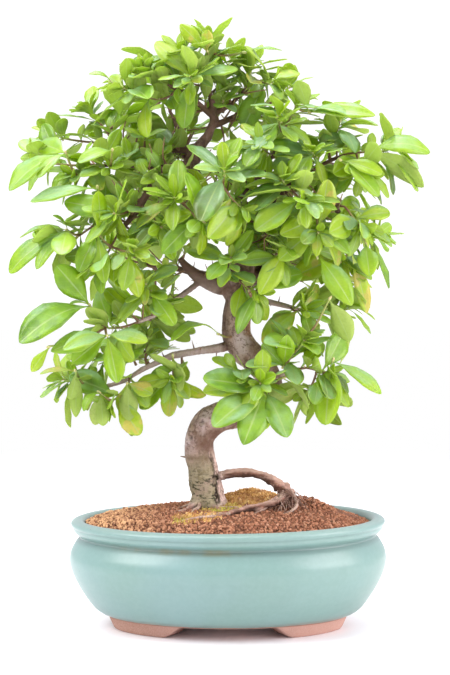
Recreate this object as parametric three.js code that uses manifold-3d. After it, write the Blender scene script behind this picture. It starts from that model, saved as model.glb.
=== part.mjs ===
// A pyracantha bonsai in an oval glazed pot. Sizes are in millimetres. The front is seen along +Y, with +X to
// the right and +Z up, and the pot's four feet stand on z = 0.
import * as THREE from 'three';
import Module from 'manifold-3d';

const wasm = await Module();
wasm.setup();

const pot = {
  length: 260, // over the lip, along X
  width: 196, // over the lip, along Y
  height: 90.5,
  floorTop: 18,
  underside: 10, // height of the bare feet
  rightHandRise: 1.2, // the hand-thrown rim stands this much higher at +X than at its middle
  segments: 40,
  drainHole: { radius: 9, x: 52, sides: 14 },
};
const screen = { side: 28, thickness: 1, holes: 3, hole: 6, bar: 2 };
const seatGap = 0.3; // between a piece and what it rests on
const soilShape = { edge: 86.5, dome: 13.5, rings: 4, segments: 24 };
const leafSize = {
  width: 0.42, // of the length
  thickness: 1.15, // of the blade under its midrib
  // [how far along the blade from the stem, share of the full width] at each section
  broad: [[0.17, 0.3], [0.5, 0.92], [0.81, 0.9]],
  young: [[0.22, 0.36], [0.7, 1]],
};
const stemRadius = { base: 1.5, tip: 1.1 };
const clearance = { blades: 2, wood: 1.7, ownStem: 0.8, stems: 1.2 };
const objectCentre = { x: -10, y: 16 }; // of the whole object's box, measured from the pot's own centre

const colours = {
  glaze: { color: 0xa6cdcb, roughness: 0.22, metalness: 0 },
  soil: { color: 0x9a6247, roughness: 0.95, metalness: 0 },
  bark: { color: 0x8c7566, roughness: 0.85, metalness: 0 },
  leaf: { color: 0x6fa62c, roughness: 0.45, metalness: 0 },
  screen: { color: 0x2c2f2e, roughness: 0.6, metalness: 0 },
};

// The wood, as routes of [x, y, z, radius]. Each branch starts inside the one that carries it.
const trunk = [
  [-16, 0, 88, 16.6], [-16, 0, 96, 17], [-16.2, 0, 104, 15.8], [-17.4, 0, 113, 13.5], [-20, 0, 126, 12.9],
  [-23.4, 0, 138, 12.4], [-24, 0, 150, 11.8], [-22, 0, 161, 12.2], [-15, 0, 170, 12.8], [-5, -2, 175, 12.4],
  [7, -4, 177, 11.6], [20, -6, 181, 11], [30, -8, 189, 10.6], [35, -9, 199, 10.4], [32, -8, 211, 11],
  [24, -5, 221, 11.6], [14, -2, 230, 12], [8, 0, 240, 12.2], [7, 2, 250, 12.2], [8, 4, 261, 12],
  [10, 5, 272, 12.8], [8, 6, 283, 14.6], [10, 7, 294, 12.6], [12, 8, 306, 11], [10, 9, 319, 10.6],
  [6, 9, 331, 9.8], [-5, 8, 344, 8], [-17, 6, 356, 7], [-25, 4, 368, 6.6], [-31, 2, 381, 6.8],
  [-26, 0, 395, 5], [-17, -1, 406, 4.2], [-12, -2, 419, 3.4], [-13, -3, 433, 2.6], [-16, -4, 446, 2],
  [-16, -4, 460, 1.5],
];
const roots = {
  arch: [
    [-14, -3, 122, 6], [-2, -5, 126, 4.2], [8, -6, 128, 4], [19, -8, 128, 4], [30, -10, 126, 4.2],
    [38, -11, 121, 4.6], [45, -12, 116, 5.6], [51, -13, 110, 4.6], [54, -15, 102, 3.4], [54, -18, 96, 2.6],
    [50, -21, 91, 2],
  ],
  knob: [[45, -12, 117, 5], [49, -14, 110, 4.6], [42, -19, 106, 3.2], [31, -25, 103, 2.6], [20, -30, 96, 2]],
  lateral: [
    [42, -18, 107, 2.8], [30, -24, 104.4, 2.8], [20, -29, 102.6, 2.6], [10, -34, 100.8, 2.5],
    [0, -40, 98.6, 2.2], [-10, -46, 95.8, 2], [-22, -52, 93, 1.7], [-30, -56, 89, 1.4],
  ],
  left: [[-18, -4, 108, 6], [-27, -12, 102, 4], [-35, -20, 98, 2.8], [-43, -27, 93, 2]],
  front: [[-16, -6, 108, 6], [-12, -18, 101, 3.6], [-4, -27, 98.5, 2.6], [4, -33, 94, 1.8]],
  back: [[-17, 4, 108, 6], [-22, 18, 101, 4.2], [-26, 30, 97, 3], [-30, 42, 91, 2]],
};
const branches = {
  lowLeft: [
    [8, -1, 236, 6], [-5, -5, 232, 4.4], [-22, -9, 230, 3.5], [-46, -12, 226, 3.2], [-57, -13, 221, 2.8],
    [-70, -14, 215, 2.4], [-86, -15, 205, 2.1], [-103, -15, 200, 1.8], [-117, -15, 201, 1.5],
  ],
  midLeft: [
    [8, 6, 292, 6], [-12, 0, 297, 3.2], [-28, -8, 283, 2.8], [-46, -15, 270, 2.4], [-61, -20, 259, 2.1],
    [-74, -23, 254, 1.7],
  ],
  heavyLeft: [
    [-31, 2, 383, 5.4], [-44, -8, 381, 4.5], [-56, -16, 376, 4.1], [-61, -22, 367, 3.8], [-69, -28, 354, 3.4],
    [-73, -32, 346, 3], [-86, -38, 330, 2.2],
  ],
  highLeft: [[-30, 2, 380, 4], [-56, 6, 381, 2.8], [-82, 8, 383, 2.3], [-112, 8, 383, 1.8]],
  backLeft: [[-26, 0, 395, 3.4], [-53, 16, 396, 2.6], [-82, 28, 398, 2], [-104, 36, 402, 1.6]],
  topLeft: [[-12, -2, 422, 3], [-30, -10, 438, 2.1], [-48, -16, 447, 1.6]],
  topRight: [[-13, -2, 424, 3], [2, 8, 433, 2.3], [12, 14, 444, 1.7]],
  innerRight: [[-5, 8, 344, 5], [17, 2, 362, 3.6], [31, -6, 381, 2.8], [39, -11, 398, 2]],
  highRight: [
    [7, 9, 327, 6], [28, 0, 348, 4.2], [51, -6, 365, 3.2], [69, -10, 379, 2.4], [90, -12, 389, 1.8],
  ],
  pruned: [
    [11, 9, 316, 6], [30, -6, 327, 4.8], [48, -18, 336, 4.3], [68, -26, 346, 3.7], [82, -30, 353, 3.3],
    [88, -31, 350, 3], [89, -32, 343, 2.4],
  ],
  midRight: [[12, 8, 301, 5.4], [35, 16, 308, 3.6], [61, 23, 316, 2.6], [84, 25, 320, 1.9]],
  lowRight: [[10, 5, 272, 5.4], [28, 14, 271, 3], [47, 22, 266, 2.4], [66, 27, 261, 1.8]],
  elbow: [[33, -9, 206, 5], [46, -18, 210, 3], [59, -26, 216, 2]],
  elbowFront: [[34, -8, 201, 5], [32, -24, 205, 2.4], [29, -34, 206, 1.8]],
  frontHigh: [[-5, 8, 344, 4.6], [-2, -14, 350, 3], [-4, -34, 357, 2.2], [-4, -48, 362, 1.6]],
  frontLeft: [[-25, 4, 368, 4], [-31, -18, 360, 2.6], [-34, -36, 353, 1.8]],
  frontRight: [[11, 8, 303, 5], [24, -14, 306, 3], [36, -27, 309, 2]],
  frontMid: [[8, 6, 283, 6], [3, -18, 288, 2.6], [2, -30, 294, 1.8]],
  secondStem: [
    [8, 6, 283, 9], [24, 14, 290, 7], [33, 28, 303, 5.4], [42, 48, 322, 4], [58, 60, 342, 3],
    [76, 68, 356, 2],
  ],
  farLeft: [[4, 9, 333, 6], [-4, 42, 346, 3.8], [-22, 64, 362, 2.8], [-44, 78, 376, 1.8]],
  farTop: [[-31, 2, 383, 5], [-36, 32, 400, 3], [-44, 50, 418, 2.2], [-50, 60, 432, 1.6]],
  farTopRight: [[-12, -2, 415, 3.2], [10, 26, 426, 2.4], [30, 42, 434, 1.7]],
  farLow: [[7, 6, 284, 6], [-14, 42, 290, 4], [-42, 58, 296, 3], [-70, 66, 300, 2]],
  farLowRight: [[10, 7, 290, 6], [36, 46, 288, 3.4], [60, 58, 287, 2.2]],
};

// The leafy sprays: the branch each one grows from, and the tips of its shoots. A second shoot forks off the
// first.
const sprays = [
  { on: 'trunk', tips: [[-16, -4, 482]] },
  { on: 'trunk', tips: [[-38, -12, 474], [-30, -40, 452]] },
  { on: 'trunk', tips: [[2, 30, 472]] },
  { on: 'topLeft', tips: [[-68, -22, 460], [-50, 12, 464]] },
  { on: 'topLeft', tips: [[-84, -26, 444]] },
  { on: 'topRight', tips: [[20, 20, 466], [36, 4, 450]] },
  { on: 'innerRight', tips: [[55, -18, 430], [40, -44, 419]] },
  { on: 'innerRight', tips: [[26, -52, 398]] },
  { on: 'highRight', tips: [[134, -16, 396], [108, -32, 376]] },
  { on: 'highRight', tips: [[92, -6, 418]] },
  { on: 'highRight', tips: [[68, -42, 392]] },
  { on: 'pruned', tips: [[106, -42, 334]] },
  { on: 'pruned', tips: [[72, -56, 328]] },
  { on: 'pruned', tips: [[44, -58, 368], [60, -68, 352]] },
  { on: 'midRight', tips: [[124, 22, 324], [94, 6, 304]] },
  { on: 'midRight', tips: [[96, 40, 286]] },
  { on: 'lowRight', tips: [[104, 30, 264]] },
  { on: 'lowRight', tips: [[62, -2, 264]] },
  { on: 'elbow', tips: [[82, -36, 214], [66, -18, 198]] },
  { on: 'elbow', tips: [[62, -32, 240]] },
  { on: 'elbowFront', tips: [[26, -54, 206]] },
  { on: 'elbowFront', tips: [[8, -40, 216]] },
  { on: 'frontHigh', tips: [[-3, -68, 376], [12, -62, 346]] },
  { on: 'frontLeft', tips: [[-42, -62, 354], [-20, -62, 336]] },
  { on: 'frontRight', tips: [[48, -48, 316]] },
  { on: 'frontMid', tips: [[2, -52, 306]] },
  { on: 'frontMid', tips: [[22, -38, 280]] },
  { on: 'backLeft', tips: [[-146, 42, 410]] },
  { on: 'backLeft', tips: [[-116, 34, 430], [-88, 46, 426]] },
  { on: 'highLeft', tips: [[-156, 4, 388]] },
  { on: 'highLeft', tips: [[-124, -16, 374], [-96, -22, 380]] },
  { on: 'highLeft', tips: [[-72, 34, 362]] },
  { on: 'heavyLeft', tips: [[-102, -48, 304], [-76, -64, 312]] },
  { on: 'heavyLeft', tips: [[-138, -28, 318]] },
  { on: 'heavyLeft', tips: [[-90, -60, 342]] },
  { on: 'heavyLeft', tips: [[-54, -56, 332]] },
  { on: 'heavyLeft', tips: [[-112, -26, 346]] },
  { on: 'midLeft', tips: [[-100, -30, 250], [-132, -24, 254]] },
  { on: 'midLeft', tips: [[-66, -44, 286]] },
  { on: 'midLeft', tips: [[-62, 6, 256]] },
  { on: 'lowLeft', tips: [[-136, -10, 206]] },
  { on: 'lowLeft', tips: [[-94, -30, 190]] },
  { on: 'lowLeft', tips: [[-46, -28, 208]] },
  { on: 'lowLeft', tips: [[-66, -8, 240], [-114, -8, 222]] },
  { on: 'farLeft', tips: [[-72, 94, 398], [-36, 90, 412]] },
  { on: 'farLeft', tips: [[-56, 82, 354]] },
  { on: 'secondStem', tips: [[108, 72, 376], [78, 86, 390]] },
  { on: 'secondStem', tips: [[98, 60, 336]] },
  { on: 'farTop', tips: [[-58, 72, 454], [-80, 62, 426]] },
  { on: 'farTopRight', tips: [[52, 48, 450], [30, 64, 422]] },
  { on: 'farLow', tips: [[-102, 76, 314], [-76, 84, 336]] },
  { on: 'farLow', tips: [[-62, 72, 268]] },
  { on: 'farLowRight', tips: [[92, 66, 300], [70, 72, 322]] },
];

const plane = new THREE.Plane();
const hit = new THREE.Vector3();
const near = new THREE.Vector3();
const meshes = new THREE.Group();
meshes.position.set(-objectCentre.x, -objectCentre.y, 0);

function addPiece(name, geometry, look) {
  const mesh = new THREE.Mesh(geometry, new THREE.MeshStandardMaterial(look));
  mesh.name = name;
  meshes.add(mesh);
}

// A seeded generator of numbers from 0 to 1.
function seededRandom(seed) {
  let state = seed;
  return () => {
    state = (state + 0x6d2b79f5) | 0;
    let mixed = Math.imul(state ^ (state >>> 15), 1 | state);
    mixed = (mixed + Math.imul(mixed ^ (mixed >>> 7), 61 | mixed)) ^ mixed;
    return ((mixed ^ (mixed >>> 14)) >>> 0) / 4294967296;
  };
}

const at = (x, y, z) => new THREE.Vector3(x, y, z);
const along = (start, direction, distance) => start.clone().addScaledVector(direction, distance);
const degrees = THREE.MathUtils.degToRad;

// Closed meshes, as points and triangles whose corners run counterclockwise from outside.
class ClosedMesh {
  constructor() {
    this.points = [];
    this.faces = [];
  }

  addPoint(point) {
    return this.points.push(point.clone()) - 1;
  }

  addFace(a, b, c) {
    return this.faces.push([a, b, c]) - 1;
  }

  // Joins two rings of the same number of points. Each pair of faces is one side, first the one that stands
  // on the lower ring.
  addBand(lower, upper) {
    const band = [];
    lower.forEach((a, i) => {
      const j = (i + 1) % lower.length;
      band.push(this.addFace(a, lower[j], upper[j]), this.addFace(a, upper[j], upper[i]));
    });
    return band;
  }

  geometry() {
    const kept = this.faces.filter((face) => face !== null);
    const geometry = new THREE.BufferGeometry();
    const numbers = this.points.flatMap((point) => point.toArray());
    geometry.setAttribute('position', new THREE.Float32BufferAttribute(numbers, 3));
    geometry.setIndex(kept.flat());
    return geometry;
  }

  // Whether any face from number first on goes through another one.
  crossesFrom(first) {
    const shapes = this.faces.map((face) => face && makeTriangle(...face.map((index) => this.points[index])));
    const goesThrough = (from, to) => {
      return shapes[from].edges.some((edge, i) => {
        const ends = [this.faces[from][i], this.faces[from][(i + 1) % 3]];
        if (ends.some((index) => this.faces[to].includes(index))) return false;
        shapes[to].getPlane(plane);
        return plane.intersectLine(edge, hit) !== null && shapes[to].containsPoint(hit);
      });
    };
    for (let from = first; from < shapes.length; from += 1) {
      for (let to = 0; to < from; to += 1) {
        const both = shapes[from] && shapes[to] && shapes[from].box.intersectsBox(shapes[to].box);
        if (both && (goesThrough(from, to) || goesThrough(to, from))) return true;
      }
    }
    return false;
  }

  // Goes back to how many points and faces there were.
  cutBack(points, faces) {
    this.points.length = points;
    this.faces.length = faces;
  }

  solid() {
    return new wasm.Manifold(new wasm.Mesh({
      numProp: 3,
      vertProperties: new Float32Array(this.points.flatMap((p) => p.toArray())),
      triVerts: new Uint32Array(this.faces.filter((face) => face !== null).flat()),
    }));
  }
}

function solidGeometry(solid) {
  const mesh = solid.getMesh();
  const geometry = new THREE.BufferGeometry();
  geometry.setAttribute('position', new THREE.BufferAttribute(new Float32Array(mesh.vertProperties), 3));
  geometry.setIndex(new THREE.BufferAttribute(new Uint32Array(mesh.triVerts), 1));
  return geometry;
}

// Oval pot and what fills it

// A point of the oval at an angle, moved out from the lip's edge by offset. The rim rises a little to +X.
function ovalPoint(angle, offset, z, shrink = 1) {
  const x = (pot.length / 2 + offset) * Math.cos(angle) * shrink;
  const y = (pot.width / 2 + offset) * Math.sin(angle) * shrink;
  const rise = pot.rightHandRise * (x / (pot.length / 2)) * Math.max(0, (z - pot.underside) / pot.height);
  return at(x, y, z + rise);
}

// A closed oval body whose profile runs from its lowest middle point outside, up and back to the axis.
function ovalBody(profile, lowest, highest) {
  const mesh = new ClosedMesh();
  const rings = profile.map(([offset, z]) => Array.from({ length: pot.segments }, (_, i) => {
    return mesh.addPoint(ovalPoint((2 * Math.PI * i) / pot.segments, offset, z));
  }));
  rings.slice(1).forEach((ring, i) => mesh.addBand(rings[i], ring));
  const bottom = mesh.addPoint(at(0, 0, lowest));
  const top = mesh.addPoint(at(0, 0, highest));
  const last = rings[rings.length - 1];
  rings[0].forEach((a, i) => mesh.addFace(bottom, rings[0][(i + 1) % pot.segments], a));
  last.forEach((a, i) => mesh.addFace(top, a, last[(i + 1) % pot.segments]));
  return mesh;
}

// [offset from the lip's edge, height], up the outside from the base to the lip
const outsideProfile = [
  [-29.8, pot.underside], [-20.6, 14.6], [-11, 26], [-4.6, 36.6], [-0.4, 46], [1.8, 56], [1, 62.4],
  [-2.6, 70.4], [-6.2, 75.4], [-4.4, 78], [-1.2, 81.2], [-0.8, 83.6], [0.6, 84.6], [0.8, 87.2],
  [-1.4, 89.6], [-5.6, pot.height], [-9.6, 89],
];
// and down the inside to the floor
const insideProfile = [[-11.6, 80], [-8, 62], [-10.8, 44], [-20, 27], [-33, pot.floorTop]];

// A bare foot: a block that follows the oval's base, with both ends sloped back up to the underside.
function potFoot(startAngle, direction) {
  const reach = [8, 18, 31, 44, 56, 67]; // degrees round the oval from its long end
  const mesh = new ClosedMesh();
  const sections = reach.map((turn, i) => {
    const angle = startAngle + direction * degrees(turn);
    const low = i === 0 || i === reach.length - 1 ? pot.underside + 0.4 : 0;
    const inset = low > 0 ? -30.4 : -32.6;
    return [
      mesh.addPoint(ovalPoint(angle, -29.9, pot.underside + 3)),
      mesh.addPoint(ovalPoint(angle, inset, low)),
      mesh.addPoint(ovalPoint(angle, -52, low)),
      mesh.addPoint(ovalPoint(angle, -52, pot.underside + 3)),
    ];
  });
  const ordered = direction > 0 ? sections : sections.reverse();
  ordered.slice(1).forEach((section, i) => mesh.addBand(ordered[i], section));
  const [first] = ordered;
  const final = ordered[ordered.length - 1];
  mesh.addFace(first[0], first[2], first[1]);
  mesh.addFace(first[0], first[3], first[2]);
  mesh.addFace(final[0], final[1], final[2]);
  mesh.addFace(final[0], final[2], final[3]);
  return mesh.solid();
}

// An upright prism with regular sides, from one height to another.
function post(x, y, radius, sides, low, high) {
  const mesh = new ClosedMesh();
  const ring = (z) => Array.from({ length: sides }, (_, i) => {
    const angle = (2 * Math.PI * i) / sides;
    return mesh.addPoint(at(x + radius * Math.cos(angle), y + radius * Math.sin(angle), z));
  });
  const lower = ring(low);
  const upper = ring(high);
  mesh.addBand(lower, upper);
  for (let i = 1; i < sides - 1; i += 1) {
    mesh.addFace(lower[0], lower[i + 1], lower[i]);
    mesh.addFace(upper[0], upper[i], upper[i + 1]);
  }
  return mesh.solid();
}

function makePot() {
  const { drainHole, underside, floorTop } = pot;
  let solid = ovalBody([...outsideProfile, ...insideProfile], underside, floorTop).solid();
  [[0, 1], [0, -1], [Math.PI, 1], [Math.PI, -1]].forEach(([start, direction]) => {
    solid = solid.add(potFoot(start, direction));
  });
  [-1, 1].forEach((side) => {
    const x = side * drainHole.x;
    solid = solid.subtract(post(x, 0, drainHole.radius, drainHole.sides, underside - 1, floorTop + 1));
  });
  addPiece('pot', solidGeometry(solid), colours.glaze);
}

// A square post, from one height to another.
function squarePost(x, y, side, low, high) {
  return post(0, 0, side * Math.SQRT1_2, 4, low, high).rotate([0, 0, 45]).translate([x, y, 0]);
}

// A square of plastic mesh on the pot's floor over each drainage hole.
function makeScreens() {
  const { side, thickness, holes, hole, bar } = screen;
  const low = pot.floorTop + seatGap;
  let sheet = squarePost(0, 0, side, low, low + thickness);
  const pitch = hole + bar;
  const first = (-(holes - 1) * pitch) / 2;
  for (let row = 0; row < holes; row += 1) {
    for (let column = 0; column < holes; column += 1) {
      const [x, y] = [first + column * pitch, first + row * pitch];
      sheet = sheet.subtract(squarePost(x, y, hole, low - 1, low + thickness + 1));
    }
  }
  [['left', -1], ['right', 1]].forEach(([name, sign]) => {
    const placed = sheet.translate([sign * pot.drainHole.x, 0, 0]);
    addPiece(`drainage_screen_${name}`, solidGeometry(placed), colours.screen);
  });
}

// Height of the soil over a place: a low dome from the pot's edge to the trunk, with a mossy hump behind the
// arched root, a heap where that root goes in, and a hollow at the right-hand end.
function soilHeight(x, y) {
  const reach = Math.hypot(x / (pot.length / 2 - 12), y / (pot.width / 2 - 12));
  const hill = (cx, cy, spread, height) => height * Math.exp(-((x - cx) ** 2 + (y - cy) ** 2) / spread ** 2);
  const dome = soilShape.dome * Math.max(0, 1 - reach ** 2) ** 0.75;
  return soilShape.edge + dome + hill(20, 25, 26, 10.5) + hill(66, 6, 22, 9) + hill(104, 4, 16, -2);
}

function makeSoil(holes) {
  const random = seededRandom(11);
  const mesh = new ClosedMesh();
  const wall = insideProfile.slice().reverse();
  const rings = wall.map(([offset, z], i) => Array.from({ length: soilShape.segments }, (_, k) => {
    const angle = (2 * Math.PI * k) / soilShape.segments;
    return mesh.addPoint(ovalPoint(angle, offset - 2 * seatGap, i === 0 ? z + seatGap : z));
  }));
  for (let ring = 0; ring < soilShape.rings; ring += 1) {
    const shrink = 1 - ring / soilShape.rings;
    rings.push(Array.from({ length: soilShape.segments }, (_, k) => {
      const point = ovalPoint((2 * Math.PI * k) / soilShape.segments, -11.2, 0, shrink);
      const rough = ring === 0 ? 0 : 1.6 * (random() - 0.5);
      return mesh.addPoint(at(point.x, point.y, soilHeight(point.x, point.y) + rough));
    }));
  }
  rings.slice(1).forEach((ring, i) => mesh.addBand(rings[i], ring));
  const bottom = mesh.addPoint(at(0, 0, pot.floorTop + seatGap));
  const top = mesh.addPoint(at(0, 0, soilHeight(0, 0)));
  const last = rings[rings.length - 1];
  rings[0].forEach((a, i) => mesh.addFace(bottom, rings[0][(i + 1) % soilShape.segments], a));
  last.forEach((a, i) => mesh.addFace(top, a, last[(i + 1) % soilShape.segments]));
  let solid = mesh.solid();
  const pocket = { side: screen.side + 2 * seatGap, top: pot.floorTop + screen.thickness + 2 * seatGap };
  [-1, 1].forEach((side) => {
    solid = solid.subtract(squarePost(side * pot.drainHole.x, 0, pocket.side, pot.floorTop - 1, pocket.top));
  });
  holes.forEach((hole) => {
    solid = solid.subtract(hole);
  });
  addPiece('soil', solidGeometry(solid), colours.soil);
}

// Wood

// Frames along a route: each has its place, the route's direction and two directions square to it, which
// turn as little as they can from one frame to the next.
function framesAlong(places) {
  const frames = [];
  places.forEach((place, i) => {
    const before = places[Math.max(0, i - 1)];
    const after = places[Math.min(places.length - 1, i + 1)];
    const direction = after.clone().sub(before).normalize();
    const last = frames[i - 1];
    const guess = last ? last.u : at(0.2, 1, 0.3);
    const u = guess.clone().addScaledVector(direction, -guess.dot(direction)).normalize();
    frames.push({ place, direction, u, w: direction.clone().cross(u) });
  });
  return frames;
}

const ringPlace = (frame, radius, angle) => frame.place.clone()
  .addScaledVector(frame.u, radius * Math.cos(angle))
  .addScaledVector(frame.w, radius * Math.sin(angle));

// A tube along a route of [x, y, z, radius]. knots is how far its section strays from round.
function woodTube(route, sides, { knots = 0, grow = 0, seed = 1 } = {}) {
  const random = seededRandom(seed);
  const frames = framesAlong(route.map(([x, y, z]) => at(x, y, z)));
  frames[0].place.addScaledVector(frames[0].direction, -grow);
  frames[frames.length - 1].place.addScaledVector(frames[frames.length - 1].direction, grow);
  const mesh = new ClosedMesh();
  const rings = frames.map((frame, i) => Array.from({ length: sides }, (_, k) => {
    const radius = route[i][3] * (1 + knots * (random() - 0.5)) + grow;
    return mesh.addPoint(ringPlace(frame, radius, (2 * Math.PI * k) / sides));
  }));
  rings.slice(1).forEach((ring, i) => mesh.addBand(rings[i], ring));
  const last = rings[rings.length - 1];
  for (let k = 1; k < sides - 1; k += 1) {
    mesh.addFace(rings[0][0], rings[0][k + 1], rings[0][k]);
    mesh.addFace(last[0], last[k], last[k + 1]);
  }
  return { mesh, frames, rings };
}

const trunkTube = { sides: 9, knots: 0.12, seed: 3 };
const rootSides = 5;
const branchSides = 5;

// Flat places on a branch where a spray can be seated: two along the middle of each side, and its end.
function seatsOn(tube, firstRing) {
  const seats = [];
  const corner = (index) => tube.mesh.points[index];
  for (let i = firstRing; i < tube.rings.length - 1; i += 1) {
    tube.rings[i].forEach((a, k) => {
      const j = (k + 1) % tube.rings[i].length;
      const lowLeft = corner(a);
      const lowRight = corner(tube.rings[i][j]);
      const highRight = corner(tube.rings[i + 1][j]);
      const highLeft = corner(tube.rings[i + 1][k]);
      const normal = highRight.clone().sub(lowLeft).cross(highLeft.clone().sub(lowRight)).normalize();
      const low = lowLeft.clone().add(lowRight).divideScalar(2);
      const high = highLeft.clone().add(highRight).divideScalar(2);
      [0.3, 0.7].forEach((share) => seats.push({ place: low.clone().lerp(high, share), normal }));
    });
  }
  const end = tube.frames[tube.frames.length - 1];
  seats.push({ place: end.place.clone(), normal: end.direction.clone() });
  return seats;
}

// A thorn: a slim three-sided spike whose foot is sunk in the bark.
function thorn(place, direction, length) {
  const mesh = new ClosedMesh();
  const [frame] = framesAlong([place, along(place, direction, length)]);
  const foot = [0, 1, 2].map((k) => mesh.addPoint(ringPlace(frame, 1, (2 * Math.PI * k) / 3)));
  const tip = mesh.addPoint(along(place, direction, length));
  mesh.addFace(foot[0], foot[2], foot[1]);
  foot.forEach((a, k) => mesh.addFace(a, foot[(k + 1) % 3], tip));
  return mesh.solid();
}

const woodTubes = {};
const rods = []; // straight lengths of wood and stem, which leaves and shoots keep clear of

function addRods(frames, radii, owner) {
  frames.slice(1).forEach((frame, i) => {
    const radius = Math.max(radii[i], radii[i + 1]);
    rods.push({ line: new THREE.Line3(frames[i].place.clone(), frame.place.clone()), radius, owner });
  });
}

function makeWood() {
  const random = seededRandom(5);
  woodTubes.trunk = woodTube(trunk, trunkTube.sides, trunkTube);
  addRods(woodTubes.trunk.frames, trunk.map((p) => p[3]), 'trunk');
  let solid = woodTubes.trunk.mesh.solid();
  const stump = trunk.slice(0, 5);
  const holes = [woodTube(stump, trunkTube.sides, { ...trunkTube, knots: 0, grow: 1.4 }).mesh.solid()];
  Object.entries(roots).forEach(([name, route]) => {
    const tube = woodTube(route, rootSides);
    solid = solid.add(tube.mesh.solid());
    holes.push(woodTube(route, rootSides, { grow: 0.45 }).mesh.solid());
    addRods(tube.frames, route.map((p) => p[3]), name);
  });
  Object.entries(branches).forEach(([name, route]) => {
    const tube = woodTube(route, branchSides);
    woodTubes[name] = tube;
    solid = solid.add(tube.mesh.solid());
    addRods(tube.frames, route.map((p) => p[3]), name);
  });
  // Thorns stand on the thinner branches, one or two between the bends.
  ['lowLeft', 'midLeft', 'heavyLeft', 'highRight'].forEach((name) => {
    const { frames } = woodTubes[name];
    frames.slice(2, -1).forEach((frame, i) => {
      const angle = 2 * Math.PI * random();
      const outward = ringPlace(frame, 1, angle).sub(frame.place);
      const direction = outward.addScaledVector(frame.direction, 0.5).normalize();
      const radius = branches[name][i + 2][3];
      solid = solid.add(thorn(along(frame.place, direction, radius - 1), direction, 8 + 4 * random()));
    });
  });
  addPiece('wood', solidGeometry(solid), colours.bark);
  return holes;
}

// Leafy sprays

// Squared distance from a triangle to a straight line between two points, 0 where it goes through.
function gapToLine(triangle, line) {
  triangle.getPlane(plane);
  if (plane.intersectLine(line, hit) && triangle.containsPoint(hit)) return 0;
  let best = Infinity;
  [line.start, line.end].forEach((end) => {
    triangle.closestPointToPoint(end, near);
    best = Math.min(best, near.distanceToSquared(end));
  });
  triangle.edges.forEach((edge) => {
    best = Math.min(best, edge.distanceSqToLine3(line));
  });
  return best;
}

function gapToTriangle(first, second) {
  let best = Infinity;
  first.edges.forEach((edge) => {
    best = Math.min(best, gapToLine(second, edge));
  });
  second.edges.forEach((edge) => {
    best = Math.min(best, gapToLine(first, edge));
  });
  return best;
}

function makeTriangle(a, b, c) {
  const triangle = new THREE.Triangle(a, b, c);
  triangle.edges = [new THREE.Line3(a, b), new THREE.Line3(b, c), new THREE.Line3(c, a)];
  triangle.box = new THREE.Box3().setFromPoints([a, b, c]);
  return triangle;
}

const blades = []; // the upper faces of the leaves placed so far

// The gap low in the crown's front where the bare trunk and the low left branch show, free of leaves.
const bareGap = new THREE.Box3(at(-36, -110, 222), at(17, -14, 284));

function bladeIsClear(blade) {
  if (blade.box.intersectsBox(bareGap)) return false;
  const reach = blade.box.clone().expandByScalar(clearance.blades);
  const meetsBlade = blades.some((other) => {
    if (!reach.intersectsBox(other.box)) return false;
    const siblings = other.owner === blade.owner && other.root.distanceTo(blade.root) < 9;
    return blade.triangles.some((mine, i) => other.triangles.some((theirs, k) => {
      if (siblings && (i === 0 || k === 0) && i + k < 3) return false;
      const limit = siblings ? clearance.blades * 0.75 : clearance.blades;
      if (!mine.box.clone().expandByScalar(limit).intersectsBox(theirs.box)) return false;
      return gapToTriangle(mine, theirs) < limit ** 2;
    }));
  });
  if (meetsBlade) return false;
  return !rods.some((rod) => {
    const own = rod.owner === blade.owner;
    const limit = rod.radius + (own ? clearance.ownStem : clearance.wood);
    const around = new THREE.Box3().setFromPoints([rod.line.start, rod.line.end]).expandByScalar(limit);
    if (!around.intersectsBox(blade.box)) return false;
    return blade.triangles.some((mine, i) => !(own && i === 0) && gapToLine(mine, rod.line) < limit ** 2);
  });
}

// The sections of a leaf: its two edges and the underside of its midrib, at each station, and its tip. The
// blade sets out along heading with its face towards up, and bends over by droop on the way to the tip.
function leafSections(root, heading, up, length, droop, outline) {
  const side = heading.clone().cross(up).normalize();
  const direction = heading.clone();
  const place = root.clone();
  let done = 0;
  const sections = outline.map(([station, share]) => {
    direction.applyAxisAngle(side, -droop * (station - done));
    place.addScaledVector(direction, length * (station - done));
    done = station;
    const face = side.clone().cross(direction).normalize();
    const half = (length * leafSize.width * share) / 2;
    return {
      left: along(place, side, -half),
      right: along(place, side, half),
      rib: along(place, face, -leafSize.thickness),
    };
  });
  direction.applyAxisAngle(side, -droop * (1 - done));
  return { sections, tip: along(place, direction, length * (1 - done)) };
}

function makeBlade(root, { sections, tip }, owner) {
  const triangles = [makeTriangle(root, sections[0].left, sections[0].right)];
  sections.slice(1).forEach((next, i) => {
    const last = sections[i];
    triangles.push(makeTriangle(last.left, last.right, next.left));
    triangles.push(makeTriangle(last.right, next.right, next.left));
  });
  const final = sections[sections.length - 1];
  triangles.push(makeTriangle(final.left, final.right, tip));
  const box = new THREE.Box3();
  triangles.forEach((triangle) => box.union(triangle.box));
  return { triangles, box, root, owner };
}

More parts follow.
